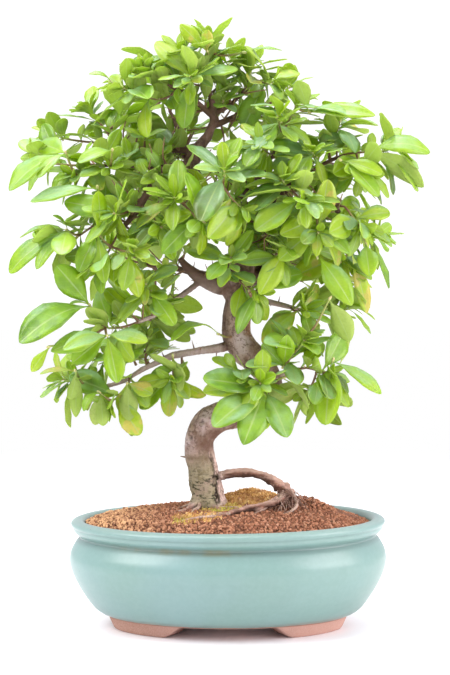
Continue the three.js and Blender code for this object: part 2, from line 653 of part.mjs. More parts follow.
// A ring's points in the order that best continues the loop it is joined to, going the same way round.
function matchedRing(mesh, loop, places, direction) {
  const turn = places[1].clone().sub(places[0]).cross(places[2].clone().sub(places[0]));
  const ordered = turn.dot(direction) < 0 ? [places[0], places[2], places[1]] : places;
  const middle = (set) => set[0].clone().add(set[1]).add(set[2]).divideScalar(3);
  const corners = loop.map((index) => mesh.points[index]);
  const from = middle(corners);
  const to = middle(ordered);
  const cost = (shift) => corners.reduce((sum, corner, i) => {
    const arm = ordered[(i + shift) % 3].clone().sub(to);
    return sum + arm.normalize().distanceTo(corner.clone().sub(from).normalize());
  }, 0);
  const best = [0, 1, 2].reduce((a, b) => (cost(b) < cost(a) ? b : a));
  return [0, 1, 2].map((i) => mesh.addPoint(ordered[(i + best) % 3]));
}

// Grows a leaf out of one triangle of a stem, which it replaces, unless it would go through another face.
function growLeaf(mesh, faceIndex, leaf) {
  const socket = mesh.faces[faceIndex];
  const before = [mesh.points.length, mesh.faces.length];
  let loop = socket;
  mesh.faces[faceIndex] = null;
  leaf.sections.forEach(({ left, right, rib }, i) => {
    const next = i + 1 < leaf.sections.length ? leaf.sections[i + 1].rib : leaf.tip;
    const ahead = next.clone().sub(rib);
    const ring = matchedRing(mesh, loop, [left, right, rib], ahead);
    mesh.addBand(loop, ring);
    loop = ring;
  });
  const tip = mesh.addPoint(leaf.tip);
  loop.forEach((a, i) => mesh.addFace(a, loop[(i + 1) % 3], tip));
  if (!mesh.crossesFrom(before[1])) return true;
  mesh.cutBack(...before);
  mesh.faces[faceIndex] = socket;
  return false;
}

// A shoot's path from where it is seated to its tip, leaving square to its seat and turning up a little.
function shootPath(seat, normal, tip, bow) {
  const reach = seat.distanceTo(tip);
  const ending = tip.clone().sub(seat).normalize().add(at(0, 0, 0.35)).normalize();
  const first = along(seat, normal, 0.38 * reach).add(bow);
  const second = along(tip, ending, -0.3 * reach).add(bow);
  return new THREE.CubicBezierCurve3(seat, first, second, tip);
}

const rosetteStep = 3.6; // between the rings that carry the end rosette
const ringSpacing = 14;

function shootFrames(path) {
  const length = path.getLength();
  const rosette = length - 2 * rosetteStep;
  const between = Math.max(1, Math.round((rosette - 4) / ringSpacing));
  const stops = [0];
  for (let i = 0; i <= between; i += 1) stops.push(4 + ((rosette - 4) * i) / between);
  stops.push(length - rosetteStep, length);
  const frames = framesAlong(stops.map((stop) => path.getPointAt(Math.min(1, stop / length))));
  const [seated, next] = frames;
  seated.direction = path.getTangentAt(0);
  seated.u = next.u.clone().addScaledVector(seated.direction, -next.u.dot(seated.direction)).normalize();
  seated.w = seated.direction.clone().cross(seated.u);
  return frames;
}

function pathIsClear(frames, owner) {
  return frames.slice(1).every((frame, i) => {
    const line = new THREE.Line3(frames[i].place, frame.place);
    return rods.every((rod) => {
      if (i === 0 || rod.owner === owner) return true;
      return line.distanceSqToLine3(rod.line) > (rod.radius + stemRadius.base + clearance.stems) ** 2;
    });
  });
}

// Straight where it can be, else bowed round what stands in its way.
function clearPath(seat, normal, tip, owner) {
  const bows = [at(0, 0, 0)];
  [6, 12, 18].forEach((size) => {
    [[0, 0, 1], [0, -1, 0], [0, 1, 0], [1, 0, 0], [-1, 0, 0], [0, 0, -1]].forEach(([x, y, z]) => {
      bows.push(at(x, y, z).multiplyScalar(size));
    });
  });
  const paths = bows.map((bow) => shootFrames(shootPath(seat, normal, tip, bow)));
  return paths.find((frames) => pathIsClear(frames, owner)) ?? paths[0];
}

const ringRadius = (i, count) => THREE.MathUtils.lerp(stemRadius.base, stemRadius.tip, i / (count - 1));

// The way round a frame that faces a triangle's sharpest corner.
function turnTowards(mesh, loop, frame) {
  const corners = loop.map((index) => mesh.points[index]);
  const middle = corners[0].clone().add(corners[1]).add(corners[2]).divideScalar(3);
  const arms = corners.map((corner) => corner.clone().sub(middle));
  const arm = arms.reduce((a, b) => (b.length() > a.length() ? b : a));
  return Math.atan2(arm.dot(frame.w), arm.dot(frame.u));
}

// A three-sided stem whose rings each turn by a sixth, so that its sides face six ways. It returns the faces
// that a leaf can grow from, band by band.
function stemBands(mesh, frames, firstLoop) {
  const bands = [];
  const turn = firstLoop ? turnTowards(mesh, firstLoop, frames[1]) + Math.PI / 3 : 0;
  let loop = firstLoop;
  frames.forEach((frame, i) => {
    if (i === 0 && loop) return;
    const places = [0, 1, 2].map((k) => {
      const angle = (2 * Math.PI * k) / 3 - (Math.PI / 3) * i + turn;
      return ringPlace(frame, ringRadius(i, frames.length), angle);
    });
    if (!loop) {
      loop = places.map((place) => mesh.addPoint(place));
      mesh.addFace(loop[0], loop[2], loop[1]);
      return;
    }
    const ring = i === 1 && firstLoop
      ? matchedRing(mesh, loop, places, frame.direction)
      : places.map((place) => mesh.addPoint(place));
    bands.push({ faces: mesh.addBand(loop, ring), frame });
    loop = ring;
  });
  const cap = mesh.addFace(...loop);
  return { bands, cap };
}

function faceMiddle(mesh, index) {
  const [a, b, c] = mesh.faces[index].map((point) => mesh.points[point]);
  const place = a.clone().add(b).add(c).divideScalar(3);
  const normal = b.clone().sub(a).cross(c.clone().sub(a)).normalize();
  return { place, normal };
}

const canopyMiddle = at(-12, 0, 330);

// Tries a few ways of setting a leaf on a face, from full size down, and grows the first that is clear.
function tryLeaf(spray, faceIndex, frame, { rise, length, outline }, random) {
  const { mesh, owner } = spray;
  const { place, normal } = faceMiddle(mesh, faceIndex);
  const outward = place.clone().sub(canopyMiddle).normalize();
  for (let attempt = 0; attempt < 9; attempt += 1) {
    const lift = degrees(rise + 30 * (random() - 0.5));
    const heading = normal.clone().multiplyScalar(Math.cos(lift));
    heading.addScaledVector(frame.direction, Math.sin(lift));
    heading.addScaledVector(frame.w, 0.5 * (random() - 0.5)).addScaledVector(outward, 0.3).normalize();
    const light = at(0, 0, 0.9).addScaledVector(frame.direction, 0.55).addScaledVector(outward, 0.45);
    light.add(at(random() - 0.5, random() - 0.8, random() - 0.5).multiplyScalar(0.7));
    const up = light.addScaledVector(heading, -light.dot(heading)).normalize();
    const size = length * (1 - 0.06 * attempt) * (0.9 + 0.2 * random());
    const leaf = leafSections(place, heading, up, size, degrees(20 + 40 * random()), outline);
    const blade = makeBlade(place, leaf, owner);
    if (bladeIsClear(blade) && growLeaf(mesh, faceIndex, leaf)) {
      blades.push(blade);
      return true;
    }
  }
  return false;
}

// The kinds of leaf, with how steeply each rises along its stem, in degrees.
const leafKinds = {
  rosette: { rise: 20, length: 44, outline: leafSize.broad },
  upper: { rise: 46, length: 31, outline: leafSize.young },
  terminal: { rise: 80, length: 23, outline: leafSize.young },
  lateral: { rise: 36, length: 39, outline: leafSize.broad },
};

// The end rosette has three broad leaves round the shoot, up to three shorter ones above them, and the
// youngest at the tip.
function leafRosette(spray, { bands, cap }, random) {
  const outer = bands[bands.length - 2];
  const inner = bands[bands.length - 1];
  [0, 2, 4].forEach((k) => tryLeaf(spray, outer.faces[k], outer.frame, leafKinds.rosette, random));
  [0, 2, 4].forEach((k) => tryLeaf(spray, inner.faces[k], inner.frame, leafKinds.upper, random));
  tryLeaf(spray, cap, inner.frame, leafKinds.terminal, random);
}

// Leaves along the shoot below the rosette, each a golden angle round from the last.
function leafShoot(spray, { bands }, random) {
  const goldenAngle = degrees(137.5);
  bands.slice(1, -2).forEach(({ faces, frame }, i) => {
    const wanted = ringPlace(frame, 1, goldenAngle * (i + spray.number)).sub(frame.place);
    const ranked = faces.slice().sort((a, b) => {
      return faceMiddle(spray.mesh, b).normal.dot(wanted) - faceMiddle(spray.mesh, a).normal.dot(wanted);
    });
    ranked.some((face) => tryLeaf(spray, face, frame, leafKinds.lateral, random));
  });
}

const takenSeats = [];

// The best free seat for a shoot to a tip: near, facing it, and clear of other wood.
function chooseSeat(branch, tip) {
  const seats = seatsOn(woodTubes[branch], branch === 'trunk' ? trunk.length - 6 : 1);
  const others = rods.filter((rod) => rod.owner !== branch);
  const cost = ({ place, normal }) => {
    const away = tip.clone().sub(place);
    const distance = away.length();
    const facing = away.normalize().dot(normal);
    const short = Math.max(0, 24 - distance) * 6;
    return distance * (1 + 0.9 * (1 - facing)) + short;
  };
  const free = seats.filter(({ place }) => {
    const apart = takenSeats.every((seat) => seat.distanceTo(place) > 6);
    return apart && others.every((rod) => {
      const closest = rod.line.closestPointToPoint(place, true, new THREE.Vector3());
      return closest.distanceTo(place) > rod.radius + 3.5;
    });
  });
  const best = free.reduce((a, b) => (cost(b) < cost(a) ? b : a));
  takenSeats.push(best.place);
  return best;
}

// Grows a fork out of a side of a shoot, the best one where it goes through nothing.
function growFork(mesh, bands, tip, owner) {
  const choices = bands.slice(1, -2).flatMap(({ faces }) => faces);
  const usable = choices.length > 0 ? choices : bands[0].faces.slice();
  const cost = (index) => {
    const { place, normal } = faceMiddle(mesh, index);
    const away = tip.clone().sub(place);
    return away.length() * (1.6 - away.clone().normalize().dot(normal));
  };
  usable.sort((a, b) => cost(a) - cost(b));
  for (const face of usable) {
    const { place, normal } = faceMiddle(mesh, face);
    const frames = clearPath(place, normal, tip, owner);
    const socket = mesh.faces[face];
    const before = [mesh.points.length, mesh.faces.length];
    mesh.faces[face] = null;
    const shoot = stemBands(mesh, frames, socket);
    if (!mesh.crossesFrom(before[1])) {
      bands.forEach((band) => {
        band.faces = band.faces.filter((index) => index !== face);
      });
      addRods(frames, frames.map(() => stemRadius.base), owner);
      return [shoot];
    }
    mesh.cutBack(...before);
    mesh.faces[face] = socket;
  }
  return [];
}

// The stems of one spray. Its fork grows out of a side of the first shoot, about half way up.
function makeStems({ on, tips }, number) {
  const owner = `leafy_spray_${String(number).padStart(2, '0')}`;
  const mesh = new ClosedMesh();
  const [mainTip, forkTip] = tips.map(([x, y, z]) => at(x, y, z));
  const seat = chooseSeat(on, mainTip);
  const frames = clearPath(along(seat.place, seat.normal, seatGap), seat.normal, mainTip, owner);
  const radii = frames.map((_, i) => ringRadius(i, frames.length));
  const shoots = [stemBands(mesh, frames, null)];
  addRods(frames, radii, owner);
  if (forkTip) shoots.push(...growFork(mesh, shoots[0].bands, forkTip, owner));
  return { mesh, owner, number, shoots };
}

const soilHoles = makeWood();
makePot();
makeScreens();
makeSoil(soilHoles);

const grownSprays = sprays.map((spray, i) => makeStems(spray, i + 1));
grownSprays.forEach((spray) => {
  const random = seededRandom(100 + spray.number);
  spray.shoots.forEach((shoot) => leafRosette(spray, shoot, random));
});
grownSprays.forEach((spray) => {
  const random = seededRandom(300 + spray.number);
  spray.shoots.forEach((shoot) => leafShoot(spray, shoot, random));
});
grownSprays.forEach(({ mesh, owner }) => addPiece(owner, mesh.geometry(), colours.leaf));

export default meshes;
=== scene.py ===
# The looks of a pyracantha bonsai in an oval glazed pot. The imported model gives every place: the leaves
# and shoots are read from its faceted sprays and grown again as fine ones, and the wood is smoothed from
# its tubes.
import math
import random

import bmesh
import bpy
import numpy as np
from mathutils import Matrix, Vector, noise


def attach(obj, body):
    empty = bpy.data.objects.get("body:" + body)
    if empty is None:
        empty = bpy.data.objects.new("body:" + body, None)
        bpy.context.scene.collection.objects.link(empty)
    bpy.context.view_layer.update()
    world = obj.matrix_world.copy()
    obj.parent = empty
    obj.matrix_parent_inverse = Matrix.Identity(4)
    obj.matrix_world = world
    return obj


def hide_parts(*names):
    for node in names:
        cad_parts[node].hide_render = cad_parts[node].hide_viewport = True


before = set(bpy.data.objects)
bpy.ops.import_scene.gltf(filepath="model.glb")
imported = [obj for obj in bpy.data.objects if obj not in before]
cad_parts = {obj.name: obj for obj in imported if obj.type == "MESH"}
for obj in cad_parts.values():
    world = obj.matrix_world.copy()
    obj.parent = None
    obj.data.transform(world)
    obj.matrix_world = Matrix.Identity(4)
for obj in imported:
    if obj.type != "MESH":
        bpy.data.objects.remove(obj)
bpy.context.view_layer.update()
print("loaded", len(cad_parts), "nodes")

mm = 0.001
potMiddle = np.array([10.0, -16.0, 0.0]) * mm  # the pot's own centre, in the frame of the whole object

# Camera and studio

studio = {
    "camera": (7.5, -1613.7, 326.5),  # mm
    "aim": (7.5, -16.0, 240.3),
    "lens": 102.8,
    "floorSize": 5.0,
    "white": (1, 0.985, 1),
    "dim": (0.80, 0.79, 0.83),  # the side of the room behind the camera
    "gleam": (0.93, 0.95, 1.0),  # what the room's mirror image is toned down to
    "strength": 1.09,
    "key": {"place": (-1.4, -0.7, 1.45), "aim": (0, 0, 0.25), "size": 1.2, "power": 37},
    "fill": {
        "place": (1.45, -0.6, 0.75), "aim": (0, 0, 0.15), "size": 1.2, "power": 29, "colour": (1, 0.94, 0.97),
    },
    "top": {"place": (-0.15, 0.1, 2.0), "aim": (0, 0, 0.35), "size": 1.2, "power": 37},
}


def addCamera():
    camera = bpy.data.objects.new("camera", bpy.data.cameras.new("camera"))
    bpy.context.scene.collection.objects.link(camera)
    camera.location = Vector(studio["camera"]) * mm
    look = Vector(studio["aim"]) * mm - camera.location
    camera.rotation_euler = look.to_track_quat("-Z", "Y").to_euler()
    camera.data.lens = studio["lens"]
    camera.data.sensor_width = 36
    camera.data.clip_end = 20
    bpy.context.scene.camera = camera


def addSoftbox(name, place, aim, size, power, colour=(1, 1, 1)):
    lamp = bpy.data.lights.new(name, "AREA")
    lamp.shape = "SQUARE"
    lamp.size = size
    lamp.energy = power
    lamp.color = colour
    softbox = bpy.data.objects.new(name, lamp)
    bpy.context.scene.collection.objects.link(softbox)
    softbox.location = place
    softbox.rotation_euler = (Vector(aim) - Vector(place)).to_track_quat("-Z", "Y").to_euler()


def lightRoom():
    # The room is white behind the object and dimmer on the camera's side. Its gleam is softer than its light.
    world = bpy.data.worlds.new("studio")
    world.use_nodes = True
    tree = world.node_tree
    tree.nodes.clear()
    place = addNode(tree, "ShaderNodeTexCoord").outputs["Generated"]
    depth = addNode(tree, "ShaderNodeSeparateXYZ", {0: place}).outputs[1]
    room = mixColour(tree, between(tree, depth, -0.75, 0.15), studio["dim"], studio["white"])
    gleam = mixColour(tree, 1.0, room, studio["gleam"], "MULTIPLY")
    rays = addNode(tree, "ShaderNodeLightPath").outputs
    colour = mixColour(tree, rays["Is Glossy Ray"], room, gleam)
    colour = mixColour(tree, rays["Is Camera Ray"], colour, (1.0, 1.0, 1.0))
    light = outOf(tree, "ShaderNodeBackground", {"Color": colour, "Strength": studio["strength"]})
    addNode(tree, "ShaderNodeOutputWorld", {"Surface": light})
    bpy.context.scene.world = world


# Node helpers, for shaders and for geometry


def addNode(tree, kind, inputs=None, **settings):
    node = tree.nodes.new(kind)
    for name, value in settings.items():
        setattr(node, name, value)
    for key, value in (inputs or {}).items():
        if isinstance(value, bpy.types.NodeSocket):
            tree.links.new(value, node.inputs[key])
        else:
            node.inputs[key].default_value = value
    return node


def outOf(tree, kind, inputs=None, **settings):
    return addNode(tree, kind, inputs, **settings).outputs[0]


def maths(tree, operation, *values):
    return outOf(tree, "ShaderNodeMath", dict(enumerate(values)), operation=operation)


def times(tree, first, second):
    return maths(tree, "MULTIPLY", first, second)


def between(tree, value, low, high, start=0.0, end=1.0):
    # A value's share of the way from low to high, from start to end.
    inputs = {"Value": value, "From Min": low, "From Max": high, "To Min": start, "To Max": end}
    return outOf(tree, "ShaderNodeMapRange", inputs, interpolation_type="SMOOTHSTEP")


def mixColour(tree, factor, first, second, blend="MIX"):
    node = tree.nodes.new("ShaderNodeMix")
    node.data_type = "RGBA"
    node.blend_type = blend
    for socket, value in ((node.inputs[0], factor), (node.inputs[6], first), (node.inputs[7], second)):
        if isinstance(value, bpy.types.NodeSocket):
            tree.links.new(value, socket)
        else:
            socket.default_value = value if isinstance(value, (int, float)) else (*value, 1)
    return node.outputs[2]


def ramp(tree, factor, stops):
    node = addNode(tree, "ShaderNodeValToRGB", {"Fac": factor})
    line = node.color_ramp
    while len(line.elements) < len(stops):
        line.elements.new(0.5)
    for element, (place, colour) in zip(line.elements, stops):
        element.position = place
        element.color = (*colour, 1)
    return node.outputs[0]


def noiseAt(tree, place, scale, detail=3.0, roughness=0.5):
    inputs = {"Vector": place, "Scale": scale, "Detail": detail, "Roughness": roughness}
    return outOf(tree, "ShaderNodeTexNoise", inputs)


def attribute(tree, name):
    return addNode(tree, "ShaderNodeAttribute", attribute_name=name).outputs["Fac"]


def newMaterial(name):
    material = bpy.data.materials.new(name)
    material.use_nodes = True
    material.node_tree.nodes.clear()
    return material, material.node_tree


def finishMaterial(tree, shader):
    addNode(tree, "ShaderNodeOutputMaterial", {"Surface": shader})


def bump(tree, height, strength, distance):
    inputs = {"Height": height, "Strength": strength, "Distance": distance}
    return outOf(tree, "ShaderNodeBump", inputs)


# Finishes


def newGroup(name, inputs, outputs):
    # A shader node group with named sockets. An input with no value is a place.
    group = bpy.data.node_groups.new(name, "ShaderNodeTree")
    for label, value in inputs.items():
        kind = "Vector" if value is None else "Color" if isinstance(value, tuple) else "Float"
        socket = group.interface.new_socket(label, in_out="INPUT", socket_type="NodeSocket" + kind)
        if value is not None:
            socket.default_value = (*value, 1) if kind == "Color" else value
    for label, kind in outputs.items():
        group.interface.new_socket(label, in_out="OUTPUT", socket_type="NodeSocket" + kind)
    return group, group.nodes.new("NodeGroupInput").outputs


def endGroup(group, values):
    output = group.nodes.new("NodeGroupOutput")
    for label, value in values.items():
        group.links.new(value, output.inputs[label])
    return group


def makeMottleGroup():
    # Specks, streaks or patches of a second colour, and the noise they come from.
    group, given = newGroup(
        "mottle",
        {"Place": None, "Colour": (0.5, 0.5, 0.5), "Speck": (0.2, 0.2, 0.2), "Scale": 100.0, "Detail": 3.0,
         "Roughness": 0.5, "Low": 0.4, "High": 0.6, "Amount": 1.0},
        {"Colour": "Color", "Height": "Float"},
    )
    height = noiseAt(group, given["Place"], given["Scale"], given["Detail"], given["Roughness"])
    cover = times(group, between(group, height, given["Low"], given["High"]), given["Amount"])
    colour = mixColour(group, cover, given["Colour"], given["Speck"])
    return endGroup(group, {"Colour": colour, "Height": height})


def makeVeinGroup():
    # A blade's midrib and side veins, from its own UV map, as masks and as a relief.
    group, given = newGroup(
        "leaf_veins",
        {"Side Veins": 8.0, "Vein Lean": 1.5},
        {"Off Rib": "Float", "Midrib": "Float", "Side Vein": "Float", "Height": "Float"},
    )
    uv = outOf(group, "ShaderNodeUVMap", uv_map="UVMap")
    split = addNode(group, "ShaderNodeSeparateXYZ", {"Vector": uv}).outputs
    offRib = maths(group, "ABSOLUTE", maths(group, "MULTIPLY_ADD", split[0], 2.0, -1.0))
    leaning = times(group, offRib, times(group, given["Vein Lean"], -1.0))
    phase = maths(group, "MULTIPLY_ADD", split[1], given["Side Veins"], leaning)
    wave = maths(group, "COSINE", times(group, phase, 2 * math.pi))
    sideVein = times(group, between(group, wave, 0.86, 1.0), between(group, offRib, 1.0, 0.5, 0.2, 1.0))
    midrib = between(group, offRib, 0.1, 0.025)
    height = maths(group, "MULTIPLY_ADD", sideVein, -0.35, times(group, midrib, -1.0))
    return endGroup(group, {"Off Rib": offRib, "Midrib": midrib, "Side Vein": sideVein, "Height": height})


mottleGroup = makeMottleGroup()
veinGroup = makeVeinGroup()


def mottle(tree, place, colour, speck, scale, low=0.4, high=0.6, amount=1.0, detail=3.0, roughness=0.5):
    # Places the mottle group and gives the mottled colour and the noise.
    inputs = {"Place": place, "Scale": scale, "Detail": detail, "Roughness": roughness}
    inputs.update({"Low": low, "High": high, "Amount": amount})
    for label, value in (("Colour", colour), ("Speck", speck)):
        inputs[label] = value if isinstance(value, bpy.types.NodeSocket) else (*value, 1)
    results = addNode(tree, "ShaderNodeGroup", inputs, node_tree=mottleGroup).outputs
    return results["Colour"], results["Height"]


def objectPlace(tree):
    return addNode(tree, "ShaderNodeTexCoord").outputs["Object"]


def stretched(tree, place, scale):
    return outOf(tree, "ShaderNodeMapping", {"Vector": place, "Scale": scale})


def finishSurface(tree, **face):
    # Ends a material with one Principled BSDF, whose inputs are named with underscores for spaces.
    inputs = {label.replace("_", " "): value for label, value in face.items()}
    finishMaterial(tree, outOf(tree, "ShaderNodeBsdfPrincipled", inputs))


leafFinish = {
    "veins": 8.0,  # side veins to each half
    "veinLean": 1.5,
    "upper": [
        (0.0, (0.10, 0.14, 0.02)),
        (0.08, (0.10, 0.235, 0.018)),
        (0.3, (0.24, 0.45, 0.010)),
        (0.6, (0.36, 0.55, 0.006)),
        (0.86, (0.43, 0.58, 0.006)),
        (0.96, (0.50, 0.62, 0.05)),
        (1.0, (0.68, 0.54, 0.11)),
    ],
    "young": (0.41, 0.57, 0.015),
    "bloomAndSheen": (0.40, 0.63, 0.40),  # the pale, bluish wax on some leaves, with painted sheen where they face up
    "vein": (0.47, 0.62, 0.12),
    "rib": (0.56, 0.68, 0.26),
    "edge": (0.36, 0.42, 0.09),
    "under": (0.38, 0.51, 0.10),
    "underPale": (0.51, 0.61, 0.20),
    "through": (0.64, 0.80, 0.01),
}


def makeLeafMaterial(name, upper):
    # Both faces of a blade share their veins. The light that comes through is the colour of young leaves.
    material, tree = newMaterial(name)
    inputs = {"Side Veins": leafFinish["veins"], "Vein Lean": leafFinish["veinLean"]}
    veins = addNode(tree, "ShaderNodeGroup", inputs, node_tree=veinGroup).outputs
    midrib, sideVein, offRib = (veins[label] for label in ("Midrib", "Side Vein", "Off Rib"))
    spot = addNode(tree, "ShaderNodeTexCoord").outputs
    place = spot["Object"]
    patches = noiseAt(tree, place, 90.0, 2.0)
    tone = maths(tree, "ADD", attribute(tree, "tone"), between(tree, patches, 0.3, 0.7, -0.13, 0.13))
    age = attribute(tree, "age")
    if upper:
        colour = ramp(tree, tone, leafFinish["upper"])
        colour = mixColour(tree, times(tree, age, 0.75), colour, leafFinish["young"])
        # Painted sheen: the pale, bluish wax colour is mixed in where the upper face looks up, in patches.
        upward = addNode(tree, "ShaderNodeSeparateXYZ", {"Vector": spot["Normal"]}).outputs[2]
        waxAndSheen = between(tree, noiseAt(tree, place, 38.0, 3.0), 0.44, 0.60, 0.15, 1.0)
        waxAndSheen = times(tree, waxAndSheen, between(tree, upward, 0.3, 0.85, 0.05, 0.8))
        colour = mixColour(tree, waxAndSheen, colour, leafFinish["bloomAndSheen"])
        colour, grain = mottle(tree, place, colour, (0.10, 0.24, 0.015), 520.0, 0.47, 0.7, 0.22)
        colour = mixColour(tree, times(tree, sideVein, 0.16), colour, leafFinish["vein"])
        colour = mixColour(tree, times(tree, midrib, 0.6), colour, leafFinish["rib"])
        edge = times(tree, between(tree, offRib, 0.93, 1.0), 0.3)
        colour = mixColour(tree, edge, colour, leafFinish["edge"])
    else:
        colour = mixColour(tree, tone, leafFinish["under"], leafFinish["underPale"])
        colour = mixColour(tree, times(tree, age, 0.5), colour, leafFinish["young"])
        colour, grain = mottle(tree, place, colour, (0.26, 0.36, 0.09), 520.0, 0.45, 0.7, 0.3)
        colour = mixColour(tree, times(tree, midrib, 0.5), colour, leafFinish["rib"])
    height = times(tree, veins["Height"], 1.0 if upper else -1.0)
    normal = bump(tree, maths(tree, "MULTIPLY_ADD", grain, 0.3, height), 0.35, 0.0003)
    gloss = between(tree, patches, 0.3, 0.7, 0.3, 0.46) if upper else 0.62
    face = {"Base Color": colour, "Roughness": gloss, "Normal": normal, "Specular IOR Level": 0.3}
    if upper:
        face.update({"Specular IOR Level": 0.7, "Coat Weight": 0.25, "Coat Roughness": 0.3})
    skin = outOf(tree, "ShaderNodeBsdfPrincipled", face)
    through = mixColour(tree, 0.5, leafFinish["through"], mixColour(tree, 0.3, colour, (0.6, 0.8, 0.01)))
    through = mixColour(tree, times(tree, midrib, 0.5), through, (0.45, 0.6, 0.1))
    glow = outOf(tree, "ShaderNodeBsdfTranslucent", {"Color": through, "Normal": normal})
    finishMaterial(tree, outOf(tree, "ShaderNodeMixShader", {0: 0.47, 1: skin, 2: glow}))
    return material


def makeShootMaterial():
    # Young shoots are green at their tips and turn red-brown lower down.
    material, tree = newMaterial("shoot_skin")
    place = objectPlace(tree)
    speckle = noiseAt(tree, place, 700.0, 3.0)
    age = maths(tree, "ADD", attribute(tree, "age"), between(tree, speckle, 0.3, 0.7, -0.12, 0.12))
    colours = ((0.20, 0.105, 0.06), (0.27, 0.15, 0.075), (0.27, 0.30, 0.07), (0.33, 0.48, 0.07))
    stops = list(zip((0.0, 0.35, 0.7, 1.0), colours))
    colour = ramp(tree, age, stops)
    finishSurface(tree, Base_Color=colour, Roughness=0.55, Normal=bump(tree, speckle, 0.4, 0.0003))
    return material


def makeRootMaterial():
    # Thin roots are pale where they are young and dark where they lie in the soil.
    material, tree = newMaterial("root_skin")
    place = objectPlace(tree)
    colour = mixColour(tree, attribute(tree, "tone"), (0.28, 0.165, 0.12), (0.58, 0.42, 0.34))
    colour, _ = mottle(tree, place, colour, (0.17, 0.09, 0.06), 120.0, 0.42, 0.64, 0.8)
    colour, fibres = mottle(tree, place, colour, (0.085, 0.045, 0.03), 500.0, 0.52, 0.7, 0.6, 4.0, 0.6)
    finishSurface(tree, Base_Color=colour, Roughness=0.8, Normal=bump(tree, fibres, 0.8, 0.0008))
    return material


def makeBudMaterial():
    material, tree = newMaterial("bud_scale")
    place = objectPlace(tree)
    green, brown = (0.48, 0.53, 0.20), (0.60, 0.40, 0.22)
    colour, scales = mottle(tree, place, green, brown, 900.0, 0.42, 0.68, detail=2.0)
    finishSurface(tree, Base_Color=colour, Roughness=0.5, Normal=bump(tree, scales, 0.5, 0.0004))
    return material


barkFinish = {
    "pale": (0.45, 0.315, 0.265),
    "tan": (0.235, 0.145, 0.105),
    "rust": (0.20, 0.095, 0.062),
    "gleam": (0.52, 0.405, 0.395),  # painted highlight on the bends
    "dark": (0.05, 0.028, 0.02),
    "upper": (0.215, 0.12, 0.096),  # the trunk and old branches in the crown
    "upperDark": (0.075, 0.042, 0.03),
    "stain": (0.13, 0.06, 0.036),
    "twig": (0.39, 0.285, 0.255),
    "twigPale": (0.48, 0.37, 0.35),
    "crownTwig": (0.13, 0.07, 0.05),
    "root": (0.28, 0.132, 0.092),
    "rootDark": (0.125, 0.056, 0.038),
    "lichen": (0.235, 0.205, 0.105),
    "lichenPale": (0.40, 0.35, 0.225),
    "scratch": (0.04, 0.042, 0.02),
    "raw": (0.42, 0.19, 0.125),  # reddish inner bark
    "rawPale": (0.76, 0.56, 0.50),
}


# heights in metres, from where a look of the bark is missing to where it is full
barkHeights = {
    "crownTwig": (0.262, 0.30),
    "root": (0.15, 0.135),
    "foot": (0.152, 0.126),
    "scratch": (0.145, 0.118),
    "innerBark": (0.155, 0.20),
}


